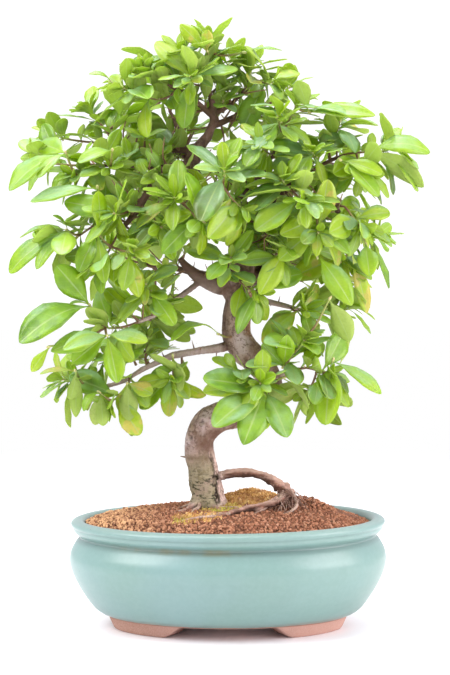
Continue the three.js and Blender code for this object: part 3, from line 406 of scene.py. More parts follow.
def makeBarkMaterial():
    material, tree = newMaterial("bark_skin")
    finish = barkFinish
    place = objectPlace(tree)
    upright = stretched(tree, place, (1, 1, 0.28))
    lying = stretched(tree, place, (0.25, 1, 1))
    height = addNode(tree, "ShaderNodeSeparateXYZ", {"Vector": place}).outputs[2]
    girth = attribute(tree, "girth")
    colour, patches = mottle(tree, place, finish["pale"], finish["tan"], 42.0, 0.36, 0.62, 1.0, 4.0, 0.6)
    colour, blotches = mottle(tree, place, colour, finish["rust"], 120.0, 0.54, 0.72, 0.75, 4.0, 0.65)
    colour, fibres = mottle(tree, upright, colour, (0.58, 0.46, 0.40), 420.0, 0.5, 0.72, 0.45, 5.0, 0.65)
    # Painted highlights on the bends, weaker where the bark is blotched.
    gleam = between(tree, attribute(tree, "gleam"), 0.1, 0.9)
    gleam = times(tree, gleam, between(tree, blotches, 0.62, 0.42, 0.35, 1.0))
    colour = mixColour(tree, gleam, colour, finish["gleam"])
    colour, freckles = mottle(tree, place, colour, (0.12, 0.066, 0.045), 330.0, 0.48, 0.62, 0.7, 3.0, 0.65)
    old = mixColour(tree, between(tree, blotches, 0.38, 0.62), finish["upper"], finish["upperDark"])
    old = mixColour(tree, between(tree, fibres, 0.5, 0.66, 0, 0.55), old, (0.30, 0.20, 0.16))
    # Darker bark higher up, and painted shade down the trunk's left side.
    colour = mixColour(tree, attribute(tree, "shade"), colour, old)
    stain = times(tree, attribute(tree, "stain"), between(tree, freckles, 0.7, 0.4, 0.5, 1.0))
    colour = mixColour(tree, stain, colour, finish["stain"])
    twig = mixColour(tree, between(tree, fibres, 0.4, 0.65), finish["twig"], finish["twigPale"])
    twig = mixColour(tree, between(tree, height, *barkHeights["crownTwig"]), twig, finish["crownTwig"])
    root = mixColour(tree, between(tree, blotches, 0.4, 0.62), finish["root"], finish["rootDark"])
    root, rootFibres = mottle(tree, lying, root, (0.50, 0.32, 0.26), 380.0, 0.5, 0.66, 0.6, 4.0, 0.6)
    root = mixColour(tree, between(tree, rootFibres, 0.46, 0.36, 0, 0.7), root, finish["rootDark"])
    # Painted light on the roots' tops.
    root = mixColour(tree, times(tree, attribute(tree, "gleam"), 0.6), root, (0.66, 0.45, 0.37))
    twig = mixColour(tree, between(tree, height, *barkHeights["root"]), twig, root)
    colour = mixColour(tree, between(tree, girth, 0.5, 0.15), colour, twig)
    foot = times(tree, between(tree, height, *barkHeights["foot"]), between(tree, girth, 0.3, 0.6))
    lichen = times(tree, foot, between(tree, patches, 0.30, 0.50, 0.25, 1.0))
    mossy = mixColour(tree, between(tree, freckles, 0.38, 0.58), finish["lichen"], finish["lichenPale"])
    colour = mixColour(tree, times(tree, lichen, 0.8), colour, mossy)
    flecks = noiseAt(tree, stretched(tree, place, (0.8, 0.8, 1.7)), 260.0, 5.0, 0.75)
    scratches = times(tree, between(tree, flecks, 0.53, 0.57), between(tree, blotches, 0.36, 0.52))
    scratchedFoot = times(tree, foot, between(tree, height, *barkHeights["scratch"], 0.1, 1.0))
    scratches = times(tree, scratches, scratchedFoot)
    colour = mixColour(tree, times(tree, scratches, 0.9), colour, finish["scratch"])
    torn = mixColour(tree, between(tree, height, *barkHeights["innerBark"]), finish["rawPale"], finish["raw"])
    torn = mixColour(tree, between(tree, fibres, 0.46, 0.6, 0, 0.75), torn, finish["rust"])
    torn = mixColour(tree, between(tree, flecks, 0.52, 0.6), torn, (0.62, 0.44, 0.37))
    torn = mixColour(tree, between(tree, fibres, 0.44, 0.38, 0, 0.7), torn, finish["dark"])
    colour = mixColour(tree, attribute(tree, "raw"), colour, torn)
    # Near black: painted shade in the split, the scars' hollows, the knot's creases and under the roots.
    colour = mixColour(tree, attribute(tree, "crackShade"), colour, (0.035, 0.02, 0.014))
    relief = maths(tree, "MULTIPLY_ADD", fibres, 0.6, times(tree, blotches, 0.5))
    for cause, depth in ((freckles, -0.35), (rootFibres, 0.8), (scratches, -0.6)):
        relief = maths(tree, "MULTIPLY_ADD", cause, depth, relief)
    normal = bump(tree, relief, 0.7, 0.0012)
    finishSurface(tree, Base_Color=colour, Roughness=0.72, Normal=normal, Specular_IOR_Level=0.3)
    return material


glazeFinish = {
    "blue": (0.172, 0.282, 0.272),
    "green": (0.160, 0.268, 0.240),
    "pool": (0.11, 0.168, 0.158),  # thick glaze in the groove
    "thin": (0.31, 0.375, 0.36),  # over sharp edges
    "clay": (0.53, 0.29, 0.25),
    "clayEdge": (0.24, 0.11, 0.055),
    "edgeHeight": 11.4,  # mm, where the glaze ends
}


def makeGlazeMaterial():
    material, tree = newMaterial("celadon_glaze_over_clay")
    place = objectPlace(tree)
    across, _, height = addNode(tree, "ShaderNodeSeparateXYZ", {"Vector": place}).outputs
    pits = addNode(tree, "ShaderNodeTexVoronoi", {"Vector": place, "Scale": 75.0}).outputs["Distance"]
    rings = noiseAt(tree, stretched(tree, place, (0.5, 0.5, 14)), 10.0, 2.0)
    colour, clouds = mottle(tree, place, glazeFinish["blue"], glazeFinish["green"], 9.0, 0.35, 0.65)
    colour, _ = mottle(tree, place, colour, (0.29, 0.40, 0.40), 260.0, 0.35, 0.7, 0.08, 3.0, 0.6)
    drips = stretched(tree, place, (1, 1, 0.25))
    colour, runs = mottle(tree, drips, colour, (0.13, 0.215, 0.20), 60.0, 0.5, 0.75, 0.12)
    colour = mixColour(tree, times(tree, attribute(tree, "pool"), 0.75), colour, glazeFinish["pool"])
    colour = mixColour(tree, times(tree, attribute(tree, "thin"), 0.4), colour, glazeFinish["thin"])
    # A brownish smear under the lip, on the left.
    smear = times(tree, between(tree, height, 0.0715, 0.0745), between(tree, across, -0.10, -0.05))
    smearEnd = times(tree, between(tree, height, 0.0785, 0.0765), between(tree, across, 0.04, 0.0))
    smear = times(tree, times(tree, smear, smearEnd), between(tree, runs, 0.4, 0.6, 0.2, 0.75))
    colour = mixColour(tree, smear, colour, (0.17, 0.17, 0.10))
    pit = between(tree, pits, 0.045, 0.025)
    colour = mixColour(tree, times(tree, pit, 0.6), colour, (0.09, 0.12, 0.10))
    clay = mixColour(tree, between(tree, clouds, 0.4, 0.6, 0, 0.4), glazeFinish["clay"], (0.40, 0.23, 0.14))
    # Painted shade: the clay darkens towards the left foot.
    clay = mixColour(tree, between(tree, across, -0.02, -0.07, 0, 0.8), clay, (0.33, 0.175, 0.11))
    clay, grain = mottle(tree, place, clay, (0.52, 0.32, 0.26), 1300.0, 0.35, 0.7, 1.0, 3.0, 0.6)
    line = maths(tree, "MULTIPLY_ADD", runs, 1.6 * mm, height)
    edge = glazeFinish["edgeHeight"]
    bare = between(tree, line, (edge + 0.9) * mm, (edge + 0.5) * mm)
    rust = between(tree, line, (edge - 0.9) * mm, (edge + 0.6) * mm, 0, 0.75)
    clay = mixColour(tree, rust, clay, glazeFinish["clayEdge"])
    colour = mixColour(tree, bare, colour, clay)
    smooth = maths(tree, "MULTIPLY_ADD", rings, 0.55, times(tree, runs, 0.25))
    smooth = maths(tree, "MULTIPLY_ADD", pit, -0.3, smooth)
    relief = outOf(tree, "ShaderNodeMix", {0: bare, 2: smooth, 3: times(tree, grain, 0.6)})
    gloss = outOf(tree, "ShaderNodeMix", {0: bare, 2: 0.31, 3: 0.85})
    normal = bump(tree, relief, 0.35, 0.0012)
    finishSurface(tree, Base_Color=colour, Roughness=gloss, Normal=normal, Specular_IOR_Level=0.5)
    return material


soilFinish = {
    "wet": (0.08, 0.036, 0.022),
    "dark": (0.15, 0.064, 0.04),
    "brown": (0.25, 0.10, 0.056),
    "red": (0.39, 0.168, 0.094),
    "pale": (0.50, 0.25, 0.155),
    "light": (0.51, 0.285, 0.19),
    "ochre": (0.72, 0.42, 0.225),
}


def makeSoilMaterial(name, granular):
    material, tree = newMaterial(name)
    place = objectPlace(tree)
    if granular:
        grain = attribute(tree, "grain")
        stops = zip((0.0, 0.2, 0.55, 0.9, 1.0), ("dark", "brown", "red", "pale", "light"))
        colour = ramp(tree, grain, [(stop, soilFinish[label]) for stop, label in stops])
        ochre = times(tree, attribute(tree, "ochre"), between(tree, grain, 0.0, 0.5))
        colour = mixColour(tree, ochre, colour, soilFinish["ochre"])
    else:
        wet, brown = soilFinish["wet"], soilFinish["brown"]
        colour, _ = mottle(tree, place, wet, brown, 330.0, 0.3, 0.7, 1.0, 4.0, 0.65)
    colour, _ = mottle(tree, place, colour, (0.26, 0.11, 0.062), 45.0, 0.45, 0.68, 0.35)
    colour, _ = mottle(tree, place, colour, (0.52, 0.33, 0.23), 1400.0, 0.55, 0.75, 0.35, 2.0)
    crumbs = noiseAt(tree, place, 330.0, 4.0, 0.65)
    normal = bump(tree, crumbs, 0.7, 0.0012)
    finishSurface(tree, Base_Color=colour, Roughness=0.92, Normal=normal, Specular_IOR_Level=0.2)
    return material


mossFinish = {
    "green": ((0.22, 0.19, 0.035), (0.48, 0.40, 0.06), (0.66, 0.58, 0.14)),
    "dry": ((0.36, 0.17, 0.045), (0.66, 0.37, 0.11), (0.80, 0.56, 0.24)),
}


def makeMossMaterial():
    material, tree = newMaterial("moss_tuft")
    grain = attribute(tree, "grain")
    stops = (0.0, 0.5, 1.0)
    green, yellow = (ramp(tree, grain, list(zip(stops, mossFinish[label]))) for label in ("green", "dry"))
    colour = mixColour(tree, attribute(tree, "dry"), green, yellow)
    colour, _ = mottle(tree, objectPlace(tree), colour, (0.40, 0.19, 0.075), 130.0, 0.47, 0.62, 0.75)
    finishSurface(tree, Base_Color=colour, Roughness=0.8)
    return material


def makePlasticMaterial():
    material, tree = newMaterial("screen_plastic")
    place = objectPlace(tree)
    colour, scuffs = mottle(tree, place, (0.018, 0.02, 0.019), (0.04, 0.042, 0.04), 500.0, 0.2, 0.8, 1.0, 4.0)
    gloss = between(tree, scuffs, 0.3, 0.7, 0.4, 0.62)
    finishSurface(tree, Base_Color=colour, Roughness=gloss, Normal=bump(tree, scuffs, 0.3, 0.0003))
    return material


def makeFloorMaterial():
    # White near the object, where its shadow falls, and as bright as the room's white further off.
    material, tree = newMaterial("white_sweep")
    away = addNode(tree, "ShaderNodeVectorMath", {0: objectPlace(tree)}, operation="LENGTH").outputs["Value"]
    face = {"Base Color": (0.95, 0.93, 0.955, 1), "Roughness": 0.4, "Specular IOR Level": 0.35}
    white = outOf(tree, "ShaderNodeBsdfPrincipled", face)
    room = outOf(tree, "ShaderNodeEmission", {"Color": (1, 1, 1, 1), "Strength": 1.0})
    mixed = {0: between(tree, away, 0.5, 1.3), 1: white, 2: room}
    finishMaterial(tree, outOf(tree, "ShaderNodeMixShader", mixed))
    return material


# Mesh and Geometry Nodes helpers


def mergedCopy(nodeName):
    # A CAD node's mesh with its shared corners merged, as a bmesh.
    mesh = bmesh.new()
    mesh.from_mesh(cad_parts[nodeName].data)
    bmesh.ops.remove_doubles(mesh, verts=mesh.verts, dist=2e-6)
    mesh.verts.ensure_lookup_table()
    return mesh


def meshFrom(mesh, name):
    # Turns a bmesh into a mesh.
    made = bpy.data.meshes.new(name)
    mesh.to_mesh(made)
    mesh.free()
    return made


def addObject(name, mesh):
    piece = bpy.data.objects.new(name, mesh)
    bpy.context.scene.collection.objects.link(piece)
    return piece


def newTree(name, sockets):
    # A Geometry Nodes tree with named inputs: {name: (kind, value)}.
    tree = bpy.data.node_groups.new(name, "GeometryNodeTree")
    tree.interface.new_socket("Geometry", in_out="INPUT", socket_type="NodeSocketGeometry")
    tree.interface.new_socket("Geometry", in_out="OUTPUT", socket_type="NodeSocketGeometry")
    for label, (kind, value) in sockets.items():
        socket = tree.interface.new_socket(label, in_out="INPUT", socket_type="NodeSocket" + kind)
        if value is not None:
            socket.default_value = value
    return tree, tree.nodes.new("NodeGroupInput").outputs


def endTree(tree, geometry):
    output = tree.nodes.new("NodeGroupOutput")
    tree.links.new(geometry, output.inputs[0])


def setMaterial(tree, geometry, finish):
    return outOf(tree, "GeometryNodeSetMaterial", {0: geometry, "Material": finish})


def store(tree, geometry, name, value, kind="FLOAT", domain="POINT"):
    inputs = {0: geometry, "Name": name, "Value": value}
    return outOf(tree, "GeometryNodeStoreNamedAttribute", inputs, data_type=kind, domain=domain)


def scaled(tree, vector, share):
    return outOf(tree, "ShaderNodeVectorMath", {0: vector, "Scale": share}, operation="SCALE")


def join(tree, parts):
    node = tree.nodes.new("GeometryNodeJoinGeometry")
    for part in parts:
        tree.links.new(part, node.inputs[0])
    return node.outputs[0]


def named(tree, name, kind="FLOAT"):
    return outOf(tree, "GeometryNodeInputNamedAttribute", {"Name": name}, data_type=kind)


def runTree(piece, tree, values):
    # Applies a tree to a piece and returns the piece with its plain mesh.
    modifier = piece.modifiers.new(tree.name, "NODES")
    modifier.node_group = tree
    for socket in tree.interface.items_tree:
        if socket.in_out == "INPUT" and socket.name in values:
            modifier[socket.identifier] = values[socket.name]
    return applyModifiers(piece)


def applyModifiers(piece):
    depsgraph = bpy.context.evaluated_depsgraph_get()
    mesh = bpy.data.meshes.new_from_object(piece.evaluated_get(depsgraph), depsgraph=depsgraph)
    piece.modifiers.clear()
    old = piece.data
    piece.data = mesh
    bpy.data.meshes.remove(old)
    return piece


def setAttribute(mesh, name, values, kind="FLOAT"):
    layer = mesh.attributes.new(name, kind, "POINT")
    field = "vector" if kind == "FLOAT_VECTOR" else "value"
    layer.data.foreach_set(field, np.asarray(values, np.float32).ravel())


def readSurface(mesh):
    # The places and normals of a mesh's corners, a row to each corner.
    places, normals = np.empty((2, len(mesh.vertices), 3))
    mesh.vertices.foreach_get("co", places.ravel())
    mesh.vertex_normals.foreach_get("vector", normals.ravel())
    return places, normals


def coat(mesh, finish):
    # One material and smooth shading all over.
    mesh.materials.clear()
    mesh.materials.append(finish)
    mesh.polygons.foreach_set("material_index", [0] * len(mesh.polygons))
    mesh.polygons.foreach_set("use_smooth", [True] * len(mesh.polygons))
    mesh.update()


def smoothPath(points, stops, wanted):
    # A smooth curve through points that stand at stops, read at the wanted stops.
    points = np.asarray(points, float)
    stops = np.asarray(stops, float)
    slopes = np.gradient(points, stops, axis=0, edge_order=1)
    spans = np.clip(np.searchsorted(stops, wanted, side="right") - 1, 0, len(stops) - 2)
    width = (stops[spans + 1] - stops[spans])[:, None]
    t = ((np.asarray(wanted) - stops[spans]) / (stops[spans + 1] - stops[spans]))[:, None]
    first, second = points[spans], points[spans + 1]
    curve = (2 * t**3 - 3 * t**2 + 1) * first + (t**3 - 2 * t**2 + t) * slopes[spans] * width
    return curve + (3 * t**2 - 2 * t**3) * second + (t**3 - t**2) * slopes[spans + 1] * width


def curveThrough(knots, count):
    # A smooth curve of so many points through evenly spaced knots.
    last = len(knots) - 1
    return smoothPath(knots, np.arange(len(knots), dtype=float), np.linspace(0, last, count))


def distanceAlong(points):
    return np.concatenate([[0], np.cumsum(np.linalg.norm(np.diff(points, axis=0), axis=1))])


def unit(vector):
    return vector / max(1e-9, float(np.linalg.norm(vector)))


def outwardFrom(ahead, turn):
    # The way that looks outward from a shoot, at a turn round it.
    side = unit(np.cross(ahead, (0.3, 0.2, 1.0)))
    return side * math.cos(turn) + np.cross(ahead, side) * math.sin(turn)


# Leafy sprays

leafShape = {
    "rows": [0, 0.07, 0.15, 0.26, 0.39, 0.53, 0.67, 0.79, 0.88, 0.945, 0.982, 1],
    "smallRows": [0, 0.10, 0.24, 0.42, 0.60, 0.77, 0.90, 0.972, 1],
    "blade": 0.09,  # where the blade begins, as a share of the leaf
    "petiole": 0.6 * mm,  # half its width
    "breadth": (0.40, 0.50),  # of the length
    "fold": (0.12, 0.7),
    "thickness": 0.35 * mm,
    "ribDrop": 1.15 * mm,  # of the faceted leaf
    "edgeWave": 0.06,
}
spiral = 2.4  # the turn from one leaf of a rosette to the next
stemEdge = 2.9 * mm  # the longest edge in a stem's ring
extraLeaves = {"tip": 5, "tipLength": (11, 24), "side": 3, "sideLength": (17, 34)}  # lengths in mm


def readSpray(nodeName):
    # Finds each leaf of a faceted spray from its tip down to the face it grows from, then the stems' rings.
    mesh = mergedCopy(nodeName)
    spots = np.array([vertex.co for vertex in mesh.verts])
    beside = [{edge.other_vert(vertex).index for edge in vertex.link_edges} for vertex in mesh.verts]
    tips = [vertex.index for vertex in mesh.verts if len(vertex.link_faces) == 3]
    mesh.free()
    leaves, taken = [], set()
    for tip in tips:
        behind, loop, sections = {tip}, set(beside[tip]), []
        taken.add(tip)
        while (section := readSection(spots, loop)) is not None:
            sections.append(section)
            taken |= loop
            behind, loop = loop, set().union(*(beside[i] for i in loop)) - loop - behind
        root = spots[list(loop)].mean(0)
        leaves.append({"root": root, "sections": sections[::-1], "tip": spots[tip]})
    return leaves, readStems(spots, beside, set(range(len(spots))) - taken)


def readSection(spots, loop):
    # A leaf's section is two edges and a rib that hangs under their middle. Stems' rings are not so flat.
    if len(loop) != 3:
        return None
    corners = list(loop)
    turns = [(corners[k], corners[k - 1], corners[k - 2]) for k in range(3)]
    rib, left, right = max(turns, key=lambda turn: np.linalg.norm(spots[turn[1]] - spots[turn[2]]))
    middle = (spots[left] + spots[right]) / 2
    drop = np.linalg.norm(spots[rib] - middle)
    uneven = abs(np.linalg.norm(spots[rib] - spots[left]) - np.linalg.norm(spots[rib] - spots[right]))
    if abs(drop - leafShape["ribDrop"]) > 0.03 * mm or uneven > 0.03 * mm:
        return None
    return {"middle": middle, "up": unit(middle - spots[rib])}


def readStems(spots, beside, rest):
    # Rings are triangles of short edges. Each stem is a chain of rings that six edges join.
    def length(a, b):
        return np.linalg.norm(spots[a] - spots[b])

    def short(a, b):
        return b in beside[a] and length(a, b) < stemEdge

    rings = []
    for a in rest:
        for b in beside[a] & rest:
            for c in beside[a] & beside[b] & rest:
                if a < b < c and short(a, b) and short(b, c) and short(a, c):
                    rings.append((a, b, c))
    links = []
    for first in rings:
        edges = [sum(b in beside[a] for a in first for b in second) for second in rings]
        links.append([k for k, count in enumerate(edges) if count == 6 and rings[k] is not first])
    stems, done = [], set()
    for start in sorted(range(len(rings)), key=lambda k: len(links[k])):
        if start in done or len(links[start]) != 1:
            continue
        chain, current = [start], start
        done.add(start)
        while following := [k for k in links[current] if k not in done]:
            current = following[0]
            chain.append(current)
            done.add(current)
        sizes = [length(*rings[k][:2]) for k in chain]
        if sizes[0] < sizes[-1]:
            chain.reverse()
            sizes.reverse()
        centres = np.array([spots[list(rings[k])].mean(0) for k in chain])
        stems.append({"centres": centres, "radii": np.array(sizes) / math.sqrt(3)})
    return stems


def leafBreadth(share, widest, point):
    # The blade's breadth along the leaf, as a share of the greatest: a wedge below, a blunt point above.
    u = np.clip((share - leafShape["blade"]) / (1 - leafShape["blade"]), 0, 1)
    lower = np.sin(math.pi / 2 * np.clip(u / widest, 0, 1)) ** 1.15
    upper = np.cos(math.pi / 2 * np.clip((u - widest) / (1 - widest), 0, 0.9999)) ** point
    return np.minimum(lower, upper)


class Guides:
    # Lines that the leaves and shoots follow, with what Geometry Nodes need at each point.
    def __init__(self):
        self.points = []
        self.edges = []
        self.values = {name: [] for name in ("up", "breadth", "along", "tone", "age", "fold", "kind")}

    def addLine(self, points, **values):
        first = len(self.points)
        self.points.extend(points)
        self.edges.extend((first + i, first + i + 1) for i in range(len(points) - 1))
        for name, column in self.values.items():
            value = values.get(name, (0, 0, 1) if name == "up" else 0.0)
            single = np.ndim(value) == (1 if name == "up" else 0)
            column.extend([value] * len(points) if single else list(value))

    def addLeaf(self, points, stops, ups, length, random_, tone, age, breadth=None):
        rows = np.array(leafShape["rows"] if length > 30 * mm else leafShape["smallRows"])
        path = smoothPath(points, stops, rows)
        facing = smoothPath(ups, stops, rows)
        facing = facing / np.linalg.norm(facing, axis=1)[:, None]
        half = leafBreadth(rows, random_.uniform(0.47, 0.64), random_.uniform(0.46, 0.72))
        half = half * length * (breadth or random_.uniform(*leafShape["breadth"])) / 2
        half = np.maximum(half, np.where(rows < 0.85, min(leafShape["petiole"], 0.03 * length), 0))
        half[-1] = 1e-6
        fold = random_.uniform(*leafShape["fold"]) * random_.uniform(0.5, 1.0)
        self.addLine(path, up=facing, breadth=half, along=rows, tone=tone, age=age, fold=fold, kind=1.0)

    def addShoot(self, points, radii, ages, tone=0.0):
        self.addLine(points, breadth=radii, age=ages, tone=tone, kind=0.0)

    def addBud(self, place, direction, size, age):
        self.addLine([place], up=direction, breadth=size, age=age, kind=2.0)

    def grow(self, name, finishes, sides=7):
        # The piece whose leaves, shoots and buds follow these lines.
        mesh = bpy.data.meshes.new(name)
        mesh.from_pydata([tuple(p) for p in self.points], self.edges, [])
        for label, values in self.values.items():
            setAttribute(mesh, label, values, "FLOAT_VECTOR" if label == "up" else "FLOAT")
        return runTree(addObject(name, mesh), sprayTree, {**finishes, "Shoot Sides": sides})


def leafTone(random_):
    # Most leaves are mid green, some dark, some bright, and a few turn yellow.
    draw = random_.random()
    if draw > 0.97:
        return random_.uniform(0.95, 1.0)
    return min(0.9, max(0.02, random_.gauss(0.52, 0.3)))


def bentLeaf(guides, root, heading, up, length, random_, age):
    # A small leaf that is set out here, not read from the model.
    bend = random_.uniform(0.2, 0.8)
    stops = np.array([0, 0.3, 0.65, 1.0])
    side = unit(np.cross(heading, up))
    up = unit(np.cross(side, heading))
    points, ups, place, turn = [root], [up], root.copy(), 0.0
    for before, stop in zip(stops, stops[1:]):
        turn = bend * (stop + before) / 2
        direction = heading * math.cos(turn) - up * math.sin(turn)
        place = place + direction * length * (stop - before)
        points.append(place)
        ups.append(up * math.cos(turn) + heading * math.sin(turn))
    guides.addLeaf(points, stops, ups, length, random_, leafTone(random_), age)


def growSpray(nodeName, number):
    random_ = random.Random(1000 + number)
    leaves, stems = readSpray(nodeName)
    guides = Guides()
    for leaf in leaves:
        sections = leaf["sections"]
        broad = len(sections) == 3
        stops = [0, 0.17, 0.5, 0.81, 1] if broad else [0, 0.22, 0.7, 1]
        if len(sections) != len(stops) - 2:
            continue
        points = [leaf["root"], *(s["middle"] for s in sections), leaf["tip"]]
        ups = [sections[0]["up"], *(s["up"] for s in sections), sections[-1]["up"]]
        length = sum(np.linalg.norm(b - a) for a, b in zip(points, points[1:]))
        age = 0.0 if broad else random_.uniform(0.0, 0.55)
        guides.addLeaf(points, stops, ups, length, random_, leafTone(random_), age)
    for stem in stems:
        centres, radii = stem["centres"], stem["radii"] * 0.7
        reach = distanceAlong(centres)
        fine = np.linspace(0, reach[-1], max(6, int(reach[-1] / (4 * mm))))
        path = smoothPath(centres, reach, fine)
        thickness = np.interp(fine, reach, radii)
        begin = unit(path[1] - path[0])
        path = np.vstack([path[0] - 2.2 * mm * begin, path])
        thickness = np.concatenate([[thickness[0] * 1.5], thickness])
        thickness[-1] *= 0.6
        ages = np.concatenate([[0], fine / reach[-1]]) ** 1.5
        guides.addShoot(path, thickness, ages)
        tip, ahead = path[-1], unit(path[-1] - path[-2])
        guides.addBud(tip, ahead, 1.5 * mm, 1.0)
        for k in range(extraLeaves["tip"]):
            outward = outwardFrom(ahead, spiral * k + random_.uniform(0, 1))
            heading = unit(ahead + outward * random_.uniform(0.35, 1.0))
            length = random_.uniform(*extraLeaves["tipLength"]) * mm
            up = unit(ahead - 0.6 * outward + (0, 0, 0.6))
            bentLeaf(guides, tip, heading, up, length, random_, random_.uniform(0.5, 1))
        for k in range(1, len(centres) - 2):
            forward = unit(centres[k + 1] - centres[k - 1])
            for _ in range(extraLeaves["side"]):
                outward = outwardFrom(forward, random_.uniform(0, 2 * math.pi))
                place = centres[k] + forward * random_.uniform(-5, 5) * mm
                heading = unit(outward + forward * random_.uniform(0.3, 0.9) + (0, 0, 0.25))
                length = random_.uniform(*extraLeaves["sideLength"]) * mm
                up = np.array([0, 0, 1.0]) + 0.4 * forward
                bentLeaf(guides, place, heading, up, length, random_, random_.uniform(0, 0.6))
            guides.addBud(centres[k] + outward * 1.0 * mm, outward, 0.9 * mm, 0.4)
    piece = guides.grow(nodeName + "_fine", leafyFinishes)
    return piece, len(leaves), np.vstack([stem["centres"] for stem in stems])


def makeSprayTree():
    tree, given = newTree("grow_spray", {
        "Blade Thickness": ("Float", leafShape["thickness"]),
        "Edge Wave": ("Float", leafShape["edgeWave"]),
        "Shoot Sides": ("Int", 7),
        "Upper Face": ("Material", None),
        "Underside": ("Material", None),
        "Shoot Skin": ("Material", None),
        "Bud Scale": ("Material", None),
    })
    kind = named(tree, "kind")
    isLeaf = outOf(tree, "FunctionNodeCompare", {0: kind, 1: 1.0, 12: 0.1}, operation="EQUAL")
    isBud = outOf(tree, "FunctionNodeCompare", {0: kind, 1: 1.5}, operation="GREATER_THAN")
    parts = addNode(tree, "GeometryNodeSeparateGeometry", {0: given["Geometry"], 1: isLeaf}).outputs
    others = addNode(tree, "GeometryNodeSeparateGeometry", {0: parts[1], 1: isBud}).outputs
    breadth = named(tree, "breadth")

    # Leaves: a flat ribbon as broad as the blade, folded up from its rib and given a thickness.
    up = named(tree, "up", "FLOAT_VECTOR")
    ribs = outOf(tree, "GeometryNodeMeshToCurve", {0: parts[0]})
    ribs = outOf(tree, "GeometryNodeSetCurveNormal", {0: ribs, "Normal": up}, mode="FREE")
    line = outOf(tree, "GeometryNodeCurvePrimitiveLine", {"Start": (0, -1, 0), "End": (0, 1, 0)})
    line = outOf(tree, "GeometryNodeResampleCurve", {0: line, "Count": 5})
    position = outOf(tree, "GeometryNodeInputPosition")
    line = store(tree, line, "across", addNode(tree, "ShaderNodeSeparateXYZ", {0: position}).outputs[1])
    blades = outOf(tree, "GeometryNodeCurveToMesh", {0: ribs, 1: line, "Scale": breadth})
    across = named(tree, "across")
    along = named(tree, "along")
    offRib = maths(tree, "ABSOLUTE", across)
    lift = times(tree, maths(tree, "SUBTRACT", offRib, 0.45), named(tree, "fold"))
    sag = times(tree, maths(tree, "POWER", offRib, 3.0), -0.12)
    beat = times(tree, named(tree, "tone"), 60.0)
    beat = maths(tree, "SINE", maths(tree, "MULTIPLY_ADD", along, 17.0, beat))
    flutter = times(tree, times(tree, beat, given["Edge Wave"]), across)
    rise = times(tree, breadth, maths(tree, "ADD", maths(tree, "ADD", lift, sag), flutter))
    blades = outOf(tree, "GeometryNodeSetPosition", {0: blades, "Offset": scaled(tree, up, rise)})
    side = maths(tree, "MULTIPLY_ADD", across, 0.5, 0.5)
    uv = outOf(tree, "ShaderNodeCombineXYZ", {0: side, 1: along})
    blades = store(tree, blades, "UVMap", uv, "FLOAT2", "CORNER")
    depth = times(tree, given["Blade Thickness"], -1.0)
    inputs = {0: blades, "Offset Scale": depth, "Individual": False}
    lower = outOf(tree, "GeometryNodeExtrudeMesh", inputs, mode="FACES")
    lower = outOf(tree, "GeometryNodeFlipFaces", {0: lower})
    lower = setMaterial(tree, lower, given["Underside"])
    blades = join(tree, (lower, setMaterial(tree, blades, given["Upper Face"])))
    blades = outOf(tree, "GeometryNodeMergeByDistance", {0: blades, "Distance": 4e-6})

    # Shoots: round tubes that taper.
    shoots = outOf(tree, "GeometryNodeMeshToCurve", {0: others[1]})
    inputs = {"Resolution": given["Shoot Sides"], "Radius": 1.0}
    circle = outOf(tree, "GeometryNodeCurvePrimitiveCircle", inputs)
    inputs = {0: shoots, 1: circle, "Scale": breadth, "Fill Caps": True}
    shoots = outOf(tree, "GeometryNodeCurveToMesh", inputs)
    shoots = setMaterial(tree, shoots, given["Shoot Skin"])

    # Buds: small pointed scales at the tips and in the leaf axils.
    points = outOf(tree, "GeometryNodeMeshToPoints", {0: others[0]})
    bud = outOf(tree, "GeometryNodeMeshIcoSphere", {"Radius": 1.0, "Subdivisions": 2})
    inputs = {0: bud, "Translation": (0, 0, 0.8), "Scale": (0.75, 0.75, 1.5)}
    bud = outOf(tree, "GeometryNodeTransform", inputs)
    turn = outOf(tree, "FunctionNodeAlignRotationToVector", {"Vector": up}, axis="Z")
    inputs = {0: points, "Instance": bud, "Rotation": turn, "Scale": breadth}
    buds = outOf(tree, "GeometryNodeInstanceOnPoints", inputs)
    buds = outOf(tree, "GeometryNodeRealizeInstances", {0: buds})
    buds = setMaterial(tree, buds, given["Bud Scale"])
    joined = join(tree, (blades, shoots, buds))
    endTree(tree, outOf(tree, "GeometryNodeSetShadeSmooth", {0: joined}))
    return tree


# Spurs: short side shoots with rosettes that fill the crown, and the thorns between them

spurShape = {
    "seed": 41,
    "count": 190,
    "tries": 6000,
    "apart": 10 * mm,
    "shoot": (4, 11),  # mm
    "leaves": (4, 6),
    "leafLength": (15, 34),
    "thorns": 90,
    "thornLength": (3.5, 8),
    "above": 0.215,
    "bare": ((-0.052, 0.078), 0.288),  # between these x, no spur stands below this height
    "fork": ((-0.024, 0.034), 0.306),
    "twigs": 150,
    "twigLength": (12, 34),
    "prickle": [(-24, -17, 140.5), (-29.5, -18.5, 141.5)],  # the one on the trunk's bare foot
}


